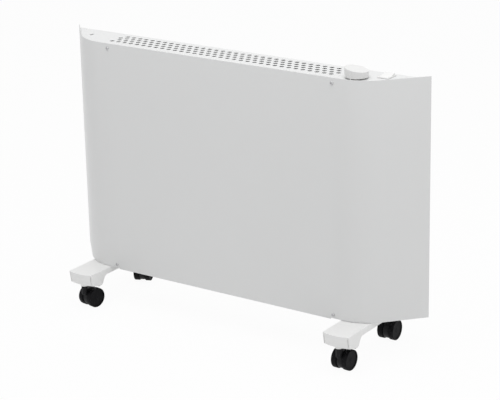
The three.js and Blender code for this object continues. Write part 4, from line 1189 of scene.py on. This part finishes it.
@dataclass
class Controls:
    """Thermostat knob and rocker switch on the right of the top plate, and the cord's gland."""

    shop: Workshop
    top: float
    knob_radius: float = 20.8 * MM
    knob_height: float = 13.8 * MM
    knob_lift: float = 1.4 * MM
    knob_tilt: float = math.radians(9)
    knob_high_side: float = math.radians(199)
    knob_wall: float = 3 * MM
    knob_crown: float = 1.2 * MM
    knob_foot: float = 0.8 * MM
    pointer: tuple[float, float, float] = (2.4 * MM, 0.2 * MM, 0.9 * MM)
    pointer_edge: float = 0.5 * MM
    pointer_root: float = 0.5 * MM
    hub_bore: float = 3.2 * MM
    plate_recess: float = 1 * MM
    bush: float = 4.6 * MM
    bezel: tuple[float, float, float] = (22 * MM, 28.5 * MM, 1.8 * MM)
    bezel_rim: float = 1.6 * MM
    bezel_corner: float = 1.6 * MM
    bezel_edge: float = 0.5 * MM
    well_corner: float = 0.6 * MM
    well_edge: float = 0.1 * MM
    well_floor: tuple[float, float] = (0.2 * MM, 2 * MM)
    housing_inset: float = 1 * MM
    housing_lift: float = 0.05 * MM
    rocker_tilt: float = math.radians(8)
    rocker_gap: float = 0.4 * MM
    rocker_stand: float = 0.6 * MM
    rocker_depth: float = 6 * MM
    rocker_keel: float = 5.5 * MM
    rocker_valley: float = 4 * MM
    rocker_crease: float = 30.0
    rocker_edge: float = 0.6 * MM
    rocker_pin: float = 1.3 * MM
    pin_reach: float = 0.7 * MM
    gland_radii: tuple[float, float, float] = (4 * MM, 7.5 * MM, 11 * MM)
    gland_head: float = 9 * MM
    gland_ease: float = 0.6 * MM
    collar_height: float = 4 * MM
    collar_ease: float = 0.8 * MM
    dome_radius: float = 3 * MM
    dome_start: float = 10.0

    def knob(self) -> None:
        """Builds the knob: a hollow cap with a slanting, softly rounded top and a pointer."""
        radius, wall, foot = self.knob_radius, self.knob_wall, self.knob_foot
        base = self.top + self.knob_lift
        rise = radius * math.tan(self.knob_tilt)
        crown = base + self.knob_height + rise + 2 * OVERLAP
        inside = radius - wall
        ceiling = base + self.knob_height - rise - wall / 2
        profile = [(0, ceiling), (inside, ceiling), (inside, base)]
        profile += arc((radius - foot, base + foot), foot, -90, 0, steps=4)
        bm = turned([*profile, (radius, crown), (0, crown)], segments=96)
        bmesh.ops.recalc_face_normals(bm, faces=bm.faces[:])
        lean = (Matrix.Rotation(self.knob_high_side, 4, "Z")
                @ Matrix.Rotation(-self.knob_tilt, 4, "Y"))
        level = Vector((0, 0, base + self.knob_height))
        cut = bmesh.ops.bisect_plane(bm, geom=everything(bm), plane_co=level,
                                     plane_no=lean @ Z_AXIS, clear_outer=True)
        rim = [g for g in cut["geom_cut"] if isinstance(g, BMEdge)]
        top = bmesh.ops.contextual_create(bm, geom=rim)["faces"]
        bmesh.ops.recalc_face_normals(bm, faces=bm.faces[:])
        round_edges(bm, top[0].edges[:], self.knob_crown, segments=6)
        width, out, drop = self.pointer
        tip = bmesh.new()
        slab(tip, Vector((-width / 2, -radius - out, base - drop)),
             Vector((width / 2, -inside - self.pointer_root, base + self.knob_height - rise)),
             self.pointer_edge, segments=3)
        bm = combine(bm, tip, Joining.WELD)
        bore, hub_low = self.hub_bore, self.top - self.plate_recess + self.bush + SEAT_GAP
        hub_top = ceiling + OVERLAP
        hub = turned([(bore, hub_low), (bore + wall, hub_low), (bore + wall, hub_top),
                      (bore, hub_top), (bore, hub_low)], segments=32)
        bm = combine(bm, hub, Joining.WELD)
        move(bm, over("thermostat_spindle"))
        self.shop.piece(bm, "knob_cap", KNOB_MOULDING, "knob", ["thermostat_knob"],
                        "knob_plastic")

    def loop(self, bm: BMesh, inset: float, corner: float,
             segments: int = CORNER_SIDES) -> list[BMEdge]:
        """Draws a rounded rectangle that follows the bezel's outline.

        Args:
            bm: The mesh that it is drawn in, round the origin.
            inset: Distance in from the outline.
            corner: Radius of its corners.
            segments: Sides of a circle of that radius.

        Returns:
            Its edges.
        """
        width, length, _ = self.bezel
        return opening(bm, (0, 0), corner, segments,
                       (width / 2 - inset - corner, length / 2 - inset - corner))

    def switch(self) -> None:
        """Builds the switch's bezel and the walls and floor of its well."""
        low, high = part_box("switch_body")
        middle = middle_of("switch_body")
        width, length, height = self.bezel
        bm = bmesh.new()
        loops = self.loop(bm, 0, self.bezel_corner, ROUND_SIDES)
        loops += self.loop(bm, self.bezel_rim, self.well_corner)
        plate(bm, loops, height, self.bezel_edge)
        move(bm, over("switch_body", high.z))
        walls = bmesh.new()
        loops = self.loop(walls, self.housing_inset, self.well_corner)
        loops += self.loop(walls, self.bezel_rim, self.well_corner)
        plate(walls, loops, high.z - low.z - height, self.well_edge)
        move(walls, over("switch_body", high.z - height + self.housing_lift))
        bm = combine(bm, walls, Joining.WELD)
        half = Vector((width / 2 - self.bezel_rim, length / 2 - self.bezel_rim))
        floor, ceiling = (low.z + level for level in self.well_floor)
        slab(bm, Vector((*(middle.xy - half), floor)), Vector((*(middle.xy + half), ceiling)))
        self.shop.piece(bm, "switch_housing", SATIN_MOULDING, "casing", ["switch_body"],
                        "switch_plastic")

    def rocker(self) -> None:
        """Builds the rocker, a shallow V on a round pin, leaning with its rear end up."""
        width, length, height = self.bezel
        half = length / 2 - self.bezel_rim - self.rocker_gap
        side = width / 2 - self.bezel_rim - self.rocker_gap
        crest = height + self.rocker_stand
        end = crest + half * math.tan(self.rocker_tilt)
        keel, depth = self.rocker_keel, self.rocker_depth
        points = [(-half, 0), (-keel, -depth), (keel, -depth), (half, 0), (half, end),
                  (0, crest), (-half, end)]
        bm = bmesh.new()
        bm.faces.new([bm.verts.new((-side, y, z)) for y, z in points])
        valley = min(bm.verts, key=lambda v: abs(v.co.y) + abs(v.co.z - crest))
        round_corners(bm, [valley], self.rocker_valley, segments=6)
        drawn = bmesh.ops.extrude_face_region(bm, geom=bm.faces[:])
        carry(bm, drawn, X_AXIS * 2 * side)
        bmesh.ops.recalc_face_normals(bm, faces=bm.faces[:])
        round_edges(bm, sharp_edges(bm, self.rocker_crease), self.rocker_edge)
        reach = side + self.pin_reach
        pin = rod(self.rocker_pin, -reach, reach, segments=20)
        move(pin, laid_along(X_AXIS, Vector()))
        bm = combine(bm, pin, Joining.WELD)
        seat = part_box("switch_body")[1].z - height
        move(bm, over("switch_body", seat) @ Matrix.Rotation(self.rocker_tilt, 4, "X"))
        self.shop.piece(bm, "switch_key", SATIN_MOULDING, "rocker", ["switch_rocker"],
                        "switch_plastic")

    def gland(self) -> None:
        """Builds the cord's gland in the rear panel."""
        low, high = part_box("cable_gland")
        bore, body, collar = self.gland_radii
        ease, rim, dome = self.gland_ease, self.collar_ease, self.dome_radius
        length = high.y - low.y
        face = length - self.gland_head
        back = face + self.collar_height
        profile = [(bore, 0), (body, 0), (body, face), (collar - ease, face),
                   (collar, face + ease), (collar, back - rim), (collar - rim, back),
                   (body + ease, back)]
        profile += arc((body + ease - dome, length - dome), dome, self.dome_start, 90, steps=6)
        profile += [(bore + ease, length), (bore, length - ease), (bore, 0)]
        bm = turned(profile, segments=48)
        place = middle_of("cable_gland")
        place.y = low.y
        move(bm, laid_along(Y_AXIS, place))
        self.shop.piece(bm, "cord_gland", BLACK_GLAND, "casing", ["cable_gland"],
                        "black_moulding")

    def build(self) -> None:
        """Builds the controls."""
        self.knob()
        self.switch()
        self.rocker()
        self.gland()


# ------------------------------------------------------------------ feet


@dataclass
class Foot:
    """A moulded foot: deep bowed ends, a thin bar between them, hollow from below."""

    shop: Workshop
    side: str
    width: float = 53 * MM
    half_length: float = 111 * MM
    wall: float = 2.5 * MM
    bar_bottom: float = 61.4 * MM
    bar_round: float = 6 * MM
    end_bottom: float = 44.5 * MM
    end_round: float = 4 * MM
    toe_bottom: float = 50.3 * MM
    toe_round: float = 1.5 * MM
    toe_slant: float = 4 * MM
    flat: tuple[float, float] = (27 * MM, 37.5 * MM)
    heel: float = 46.9 * MM
    bow: float = 4.6 * MM
    bow_cuts: int = 11
    bow_margin: float = 2 * MM
    stem_inset: float = 15 * MM
    boss: float = 7 * MM
    boss_bottom: float = 45.2 * MM
    boss_edge: float = 0.5 * MM
    socket: float = 4.2 * MM
    end_wall: float = 8.1 * MM
    hollow_drop: float = 3 * MM
    hollow_edge: float = 1.2 * MM
    hollow_skirt: float = 2 * MM
    top_gap: float = 0.4 * MM
    top_round: float = 1.6 * MM
    groove: tuple[float, float] = (1.2 * MM, 3.2 * MM)
    groove_inset: float = 2.2 * MM
    groove_reach: float = 8 * MM
    groove_edge: float = 0.2 * MM
    fixing: Screw = Screw(radius=5 * MM, height=3 * MM, shank=2.4 * MM)

    @property
    def top(self) -> float:
        """Height of the foot's top."""
        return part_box(f"foot_{self.side}")[1].z - self.top_gap

    def bowed(self, x: float) -> float:
        """How far back an end face lies at a place across the foot."""
        return self.bow * (x / (self.width / 2)) ** 2

    def profile(self, bm: BMesh) -> None:
        """Draws the side view at one side of the foot.

        Args:
            bm: An empty mesh.
        """
        length = self.half_length
        half = [(length, self.top), (length - self.toe_slant, self.toe_bottom),
                (length - self.flat[0], self.end_bottom),
                (length - self.flat[1], self.end_bottom), (length - self.heel, self.bar_bottom)]
        points = [(-y, z) for y, z in half] + half[::-1]
        x = -self.width / 2
        bm.faces.new([bm.verts.new((x, y, z)) for y, z in points])

    def outer(self) -> BMesh:
        """Outer form of the foot, centred on x = 0 and y = 0.

        Returns:
            Its mesh.
        """
        bm = bmesh.new()
        self.profile(bm)
        end = self.half_length - self.flat[0]
        rounding = {self.end_bottom: self.end_round, self.bar_bottom: self.bar_round,
                    self.toe_bottom: self.toe_round}
        for height, radius in rounding.items():
            corners = [v for v in bm.verts if abs(v.co.z - height) < MERGE_DISTANCE
                       and (abs(v.co.y) < end + MERGE_DISTANCE or height == self.toe_bottom)]
            round_corners(bm, corners, radius, segments=5)
        drawn = bmesh.ops.extrude_face_region(bm, geom=bm.faces[:])
        carry(bm, drawn, X_AXIS * self.width)
        for i in range(1, self.bow_cuts + 1):
            x = self.width * (i / (self.bow_cuts + 1) - 0.5)
            bmesh.ops.bisect_plane(bm, geom=everything(bm), plane_co=(x, 0, 0), plane_no=X_AXIS)
        bmesh.ops.recalc_face_normals(bm, faces=bm.faces[:])
        for v in bm.verts:
            if abs(v.co.y) > end + self.bow_margin:
                v.co.y -= math.copysign(self.bowed(v.co.x), v.co.y)
        half, top = self.width / 2 - MERGE_DISTANCE, self.top - MERGE_DISTANCE
        toe = self.half_length - self.bow - 2 * MERGE_DISTANCE
        edges = [e for e in bm.edges if all(abs(v.co.x) > half for v in e.verts)
                 and abs(e.verts[0].co.x - e.verts[1].co.x) < MERGE_DISTANCE]
        edges += [e for e in bm.edges if all(v.co.z > top and abs(v.co.y) >= toe
                                             for v in e.verts)]
        round_edges(bm, list(set(edges)), self.top_round, segments=4)
        return bm

    def cutter(self) -> BMesh:
        """Hollow of the foot.

        Returns:
            A body to cut it with.
        """
        bm = bmesh.new()
        inner = self.width / 2 - self.wall
        near = self.half_length - self.end_wall
        low = self.end_bottom - self.hollow_drop
        made = slab(bm, Vector((-inner, -near, low)),
                    Vector((inner, near, self.top - self.wall)), self.hollow_edge, segments=3)
        for v in made:
            if v.co.z < low + self.hollow_skirt:
                v.co.y -= math.copysign(self.toe_slant, v.co.y)
        return bm

    def bosses(self) -> BMesh:
        """Sockets for the castors' stems.

        Returns:
            Two bodies to weld on.
        """
        bm = bmesh.new()
        edge, low = self.boss_edge, self.boss_bottom
        high = self.top - self.wall + edge
        profile = [(self.socket, low), (self.boss - edge, low), (self.boss, low + edge),
                   (self.boss, high), (self.socket, high), (self.socket, low)]
        for end in ENDS.values():
            place = Y_AXIS * end * (self.half_length - self.stem_inset)
            verts = lathe(bm, profile, segments=32)
            move(bm, Matrix.Translation(place), verts)
        return bm

    def grooves(self) -> BMesh:
        """Fine grooves beside the edges of both end faces.

        Returns:
            Four bodies to cut them with.
        """
        bm = bmesh.new()
        width, depth = self.groove
        height = self.top - self.toe_bottom
        lean = math.atan2(self.toe_slant, height)
        for end in ENDS.values():
            for side in SIDES.values():
                x = side * (self.width / 2 - self.groove_inset)
                verts = slab(bm, Vector((x - width / 2, -depth, -height - self.groove_reach)),
                             Vector((x + width / 2, depth, -2 * self.top_round)),
                             self.groove_edge)
                face_y = self.half_length - self.bowed(x)
                place = Matrix.Translation((0, end * face_y, self.top))
                move(bm, place @ Matrix.Rotation(-end * lean, 4, "X"), verts)
        return bm

    def screw(self, end: str) -> None:
        """Builds one of the screws that hold the foot, its head below.

        Args:
            end: Front or rear.
        """
        node = f"foot_screw_{end}_{self.side}"
        low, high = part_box(node)
        bm = self.fixing.body(high.z - low.z - self.fixing.height)
        seat = middle_of(node)
        seat.z = low.z + self.fixing.height
        move(bm, laid_along(-Z_AXIS, seat))
        self.shop.piece(bm, f"foot_fixing_{end}_{self.side}", ZINC, "casing", [node],
                        "bright_steel")

    def build(self) -> None:
        """Builds the foot and its two screws."""
        node = f"foot_{self.side}"
        bm = combine(self.outer(), self.cutter(), Joining.CUT)
        bm = combine(bm, self.bosses(), Joining.WELD)
        bm = combine(bm, self.grooves(), Joining.CUT)
        move(bm, over(node))
        self.shop.piece(bm, f"foot_moulding_{self.side}", SATIN_MOULDING, "casing", [node],
                        "foot_plastic")
        for end in ENDS:
            self.screw(end)


@dataclass
class Castor:
    """A twin-wheel castor under one end of a foot.

    The points of a wheel's face are millimetres from its axis and in from its outer side.
    """

    shop: Workshop
    place: str
    wheel_radius: float = 19 * MM
    wheel_inner: float = 5.8 * MM
    wheel_outer: float = 16.1 * MM
    wheel_face: tuple[tuple[float, float], ...] = (
        (0, 0.7), (4.2, 0.8), (4.6, 1.1), (14.6, 1.3), (16, 1.2), (16.4, 0.1), (16.8, 0))
    tread_round: float = 1 * MM
    inner_round: float = 1.2 * MM
    hub_cap: float = 2 * MM
    axle_radius: float = 2.5 * MM
    axle_inset: float = 2.3 * MM
    trail: float = 17 * MM
    web_half: float = 5.3 * MM
    web_radius: float = 17.3 * MM
    web_edge: float = 0.8 * MM
    web_top: float = 38.6 * MM
    column_edge: float = 1.2 * MM
    collar_radius: float = 5.6 * MM
    collar_bottom: float = 27 * MM
    collar_taper: float = 1.5 * MM
    top: float = 44 * MM
    stem_radius: float = 4 * MM
    stem_socket: float = 29.7 * MM
    ease: float = 0.6 * MM
    running_gap: float = 0.15 * MM
    through: float = 1.0
    yaws: dict[str, float] = field(default_factory=lambda: {
        "front_left": -10.0, "front_right": -2.0, "rear_left": 202.0, "rear_right": 182.0})

    @property
    def name(self) -> str:
        """Name of the castor's swivelling body."""
        return f"castor_{self.place}"

    @property
    def axle_place(self) -> Vector:
        """Middle of the axle, seen from the foot of the stem."""
        return Vector((0, self.trail, self.wheel_radius))

    def frame_matrix(self) -> Matrix:
        """Where the castor stands and how it is swivelled."""
        yaw = math.radians(self.yaws[self.place])
        return over(f"{self.name}_stem") @ Matrix.Rotation(yaw, 4, "Z")

    def body(self) -> None:
        """Builds the web between the wheels, its column and its collar."""
        half, edge = self.web_half, self.web_edge
        shoulder = self.web_radius - edge
        profile = [(0, -half), (shoulder, -half)]
        profile += arc((shoulder, edge - half), edge, -90, 0, steps=3)[1:]
        profile += arc((shoulder, half - edge), edge, 0, 90, steps=3)
        bm = turned([*profile, (0, half)], segments=64)
        move(bm, laid_along(X_AXIS, self.axle_place))
        column = bmesh.new()
        slab(column, Vector((-half, 0, self.wheel_radius)),
             Vector((half, self.trail, self.web_top)), self.column_edge, segments=3)
        bm = combine(bm, column, Joining.WELD)
        radius, low, taper = self.collar_radius, self.collar_bottom, self.collar_taper
        collar = turned([(0, low), (radius - taper, low), (radius, low + taper),
                         (radius, self.top - self.ease), (radius - self.ease, self.top),
                         (0, self.top)], segments=48)
        bm = combine(bm, collar, Joining.WELD)
        bore = rod(self.axle_radius + self.running_gap, -self.through, self.through, segments=24)
        move(bore, Matrix.Translation(self.axle_place) @ Matrix.Rotation(math.pi / 2, 4, "Y"))
        bm = combine(bm, bore, Joining.CUT)
        socket = rod(self.stem_radius + self.running_gap, self.stem_socket, self.through,
                     segments=24)
        bm = combine(bm, socket, Joining.CUT)
        move(bm, self.frame_matrix())
        self.shop.piece(bm, f"{self.name}_housing", CASTOR_NYLON, self.name,
                        [f"{self.name}_frame"], "castor_nylon")

    def wheel(self, side: str) -> None:
        """Builds one wheel with a crowned tread, a stepped face and a hub cap.

        Args:
            side: Left or right.
        """
        radius, outer, inner = self.wheel_radius, self.wheel_outer, self.wheel_inner
        bevel, corner = self.tread_round, self.inner_round
        bore, bore_end = self.axle_radius + self.running_gap, outer - self.hub_cap
        profile = [(out * MM, outer - depth * MM) for out, depth in self.wheel_face]
        profile += arc((radius - bevel, outer - bevel), bevel, 90, 0, steps=6)
        profile += arc((radius - corner, inner + corner), corner, 0, -90, steps=4)
        profile += [(bore, inner), (bore, bore_end), (0, bore_end)]
        bm = turned(profile, segments=72)
        turn = laid_along(X_AXIS * SIDES[side], self.axle_place)
        move(bm, self.frame_matrix() @ turn)
        body = f"{self.name}_wheel_{side}"
        self.shop.piece(bm, f"{self.name}_tyre_{side}", CASTOR_TREAD, body, [body],
                        "castor_tread")

    def metalwork(self) -> None:
        """Builds the stem and the axle, with eased ends."""
        low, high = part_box(f"{self.name}_stem")
        stem = rod(self.stem_radius, low.z, high.z, segments=32, ease=self.ease)
        move(stem, self.frame_matrix())
        half = self.wheel_outer - self.axle_inset
        axle = rod(self.axle_radius, -half, half, segments=24, ease=self.ease)
        move(axle, self.frame_matrix() @ laid_along(X_AXIS, self.axle_place))
        for bm, name, node in ((stem, "pin", "stem"), (axle, "spindle", "axle")):
            self.shop.piece(bm, f"{self.name}_{name}", ZINC, self.name, [f"{self.name}_{node}"],
                            "bright_steel")

    def build(self) -> None:
        """Builds the castor."""
        self.body()
        self.metalwork()
        for side in SIDES:
            self.wheel(side)


# ------------------------------------------------------------------ studio


@dataclass(frozen=True)
class Lamp:
    """A soft square lamp: its place, the length of its sides and its power in watts."""

    name: str
    place: tuple[float, float, float]
    size: float
    power: float


@dataclass
class Studio:
    """Camera, lamps, world and floor."""

    azimuth: float = math.radians(34.64)
    elevation: float = math.radians(18.81)
    roll: float = math.radians(-1.22)
    distance: float = 3.350
    aim: tuple[float, float, float] = (0.0, -0.0040, 0.2457)
    aim_offset: tuple[float, float] = (-18.03, -2.90)
    focal_pixels: float = 1833.75
    picture_width: float = 500.0
    sensor_width: float = 36.0
    floor_size: float = 14.0
    floor_cells: int = 4
    floor_colour: tuple[float, float, float, float] = (0.86, 0.86, 0.86, 1)
    floor_glow: float = 0.95
    world_strength: float = 0.59
    lamps_aim: tuple[float, float, float] = (0, 0, 0.25)
    lamps: tuple[Lamp, ...] = (Lamp("overhead", (0.2, -0.42, 2.4), size=1.8, power=21.5),
                               Lamp("side_fill", (2.4, 0.1, 1.3), size=1.2, power=4.5))

    def camera(self) -> None:
        """Makes the camera at the photograph's angle.

        The aim point lies a few pixels off the middle of the picture, as in the photograph.
        """
        back = Vector((math.sin(self.azimuth) * math.cos(self.elevation),
                       -math.cos(self.azimuth) * math.cos(self.elevation),
                       math.sin(self.elevation)))
        right = (-back).cross(Z_AXIS).normalized()
        up = right.cross(-back)
        turned_right = math.cos(self.roll) * right + math.sin(self.roll) * up
        turned_up = -math.sin(self.roll) * right + math.cos(self.roll) * up
        shift_x, shift_y = (value / self.focal_pixels for value in self.aim_offset)
        ray = -back + turned_right * shift_x - turned_up * shift_y
        data = bpy.data.cameras.new("camera")
        data.lens = self.focal_pixels / self.picture_width * self.sensor_width
        data.sensor_width = self.sensor_width
        made = in_scene("camera", data)
        axes = Matrix((turned_right, turned_up, back)).transposed().to_4x4()
        made.matrix_world = Matrix.Translation(Vector(self.aim) - ray * self.distance) @ axes
        bpy.context.scene.camera = made

    def lamp(self, lamp: Lamp) -> None:
        """Hangs a lamp so that it looks at the heater.

        Args:
            lamp: The lamp.
        """
        data = bpy.data.lights.new(lamp.name, "AREA")
        data.shape = "SQUARE"
        data.size = lamp.size
        data.energy = lamp.power
        made = in_scene(lamp.name, data)
        towards = Vector(self.lamps_aim) - Vector(lamp.place)
        made.matrix_world = (Matrix.Translation(lamp.place)
                             @ towards.to_track_quat("-Z", "Y").to_matrix().to_4x4())

    @staticmethod
    def seen(graph: Graph) -> bpy.types.NodeSocket:
        """Tells rays from the camera, in metal and through glass from all others.

        Args:
            graph: The graph that asks.

        Returns:
            1 for such a ray and 0 for any other.
        """
        path = graph.add("LightPath")
        seen = path.outputs["Is Camera Ray"]
        for kind in ("Is Glossy Ray", "Is Transmission Ray"):
            seen = graph.calculate("MAXIMUM", seen, path.outputs[kind])
        return seen

    def world(self) -> None:
        """Lights the scene evenly; the camera and reflections see plain white."""
        world = bpy.data.worlds.new("studio")
        bpy.context.scene.world = world
        world.use_nodes = True
        graph = Graph(world.node_tree)
        light = graph.add("Background", Color=WHITE, Strength=self.world_strength)
        white = graph.add("Background", Color=WHITE, Strength=1.0)
        graph.add("OutputWorld", Surface=graph.mix_shaders(self.seen(graph), light, white))

    def floor(self) -> None:
        """Lays a white floor that keeps the heater's soft shadow."""
        bm = bmesh.new()
        bmesh.ops.create_grid(bm, x_segments=self.floor_cells, y_segments=self.floor_cells,
                              size=self.floor_size / 2)
        made = in_scene("floor", mesh_of(bm, "floor"))
        material = bpy.data.materials.new("floor")
        material.use_nodes = True
        graph = Graph(material.node_tree)
        cloth = graph.add("BsdfDiffuse", Color=self.floor_colour)
        glow = graph.add("Emission", Color=WHITE, Strength=1.0)
        share = graph.calculate("MULTIPLY", self.seen(graph), self.floor_glow)
        graph.add("OutputMaterial", Surface=graph.mix_shaders(share, cloth, glow))
        made.data.materials.append(material)

    def build(self) -> None:
        """Sets the whole studio up."""
        bpy.context.scene.view_settings.view_transform = "Standard"
        self.camera()
        self.world()
        self.floor()
        for lamp in self.lamps:
            self.lamp(lamp)


def main() -> None:
    """Builds the heater around its frame."""
    logging.basicConfig(level=logging.INFO, format="%(name)s: %(message)s")
    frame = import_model()
    Studio().build()
    shop = Workshop(frame)
    shop.dress_frame()
    casing = Casing.from_frame(shop)
    casing.build()
    Controls(shop, casing.top).build()
    for side in SIDES:
        Foot(shop, side).build()
        for end in ENDS:
            Castor(shop, f"{end}_{side}").build()


if __name__ == "__main__":
    main()
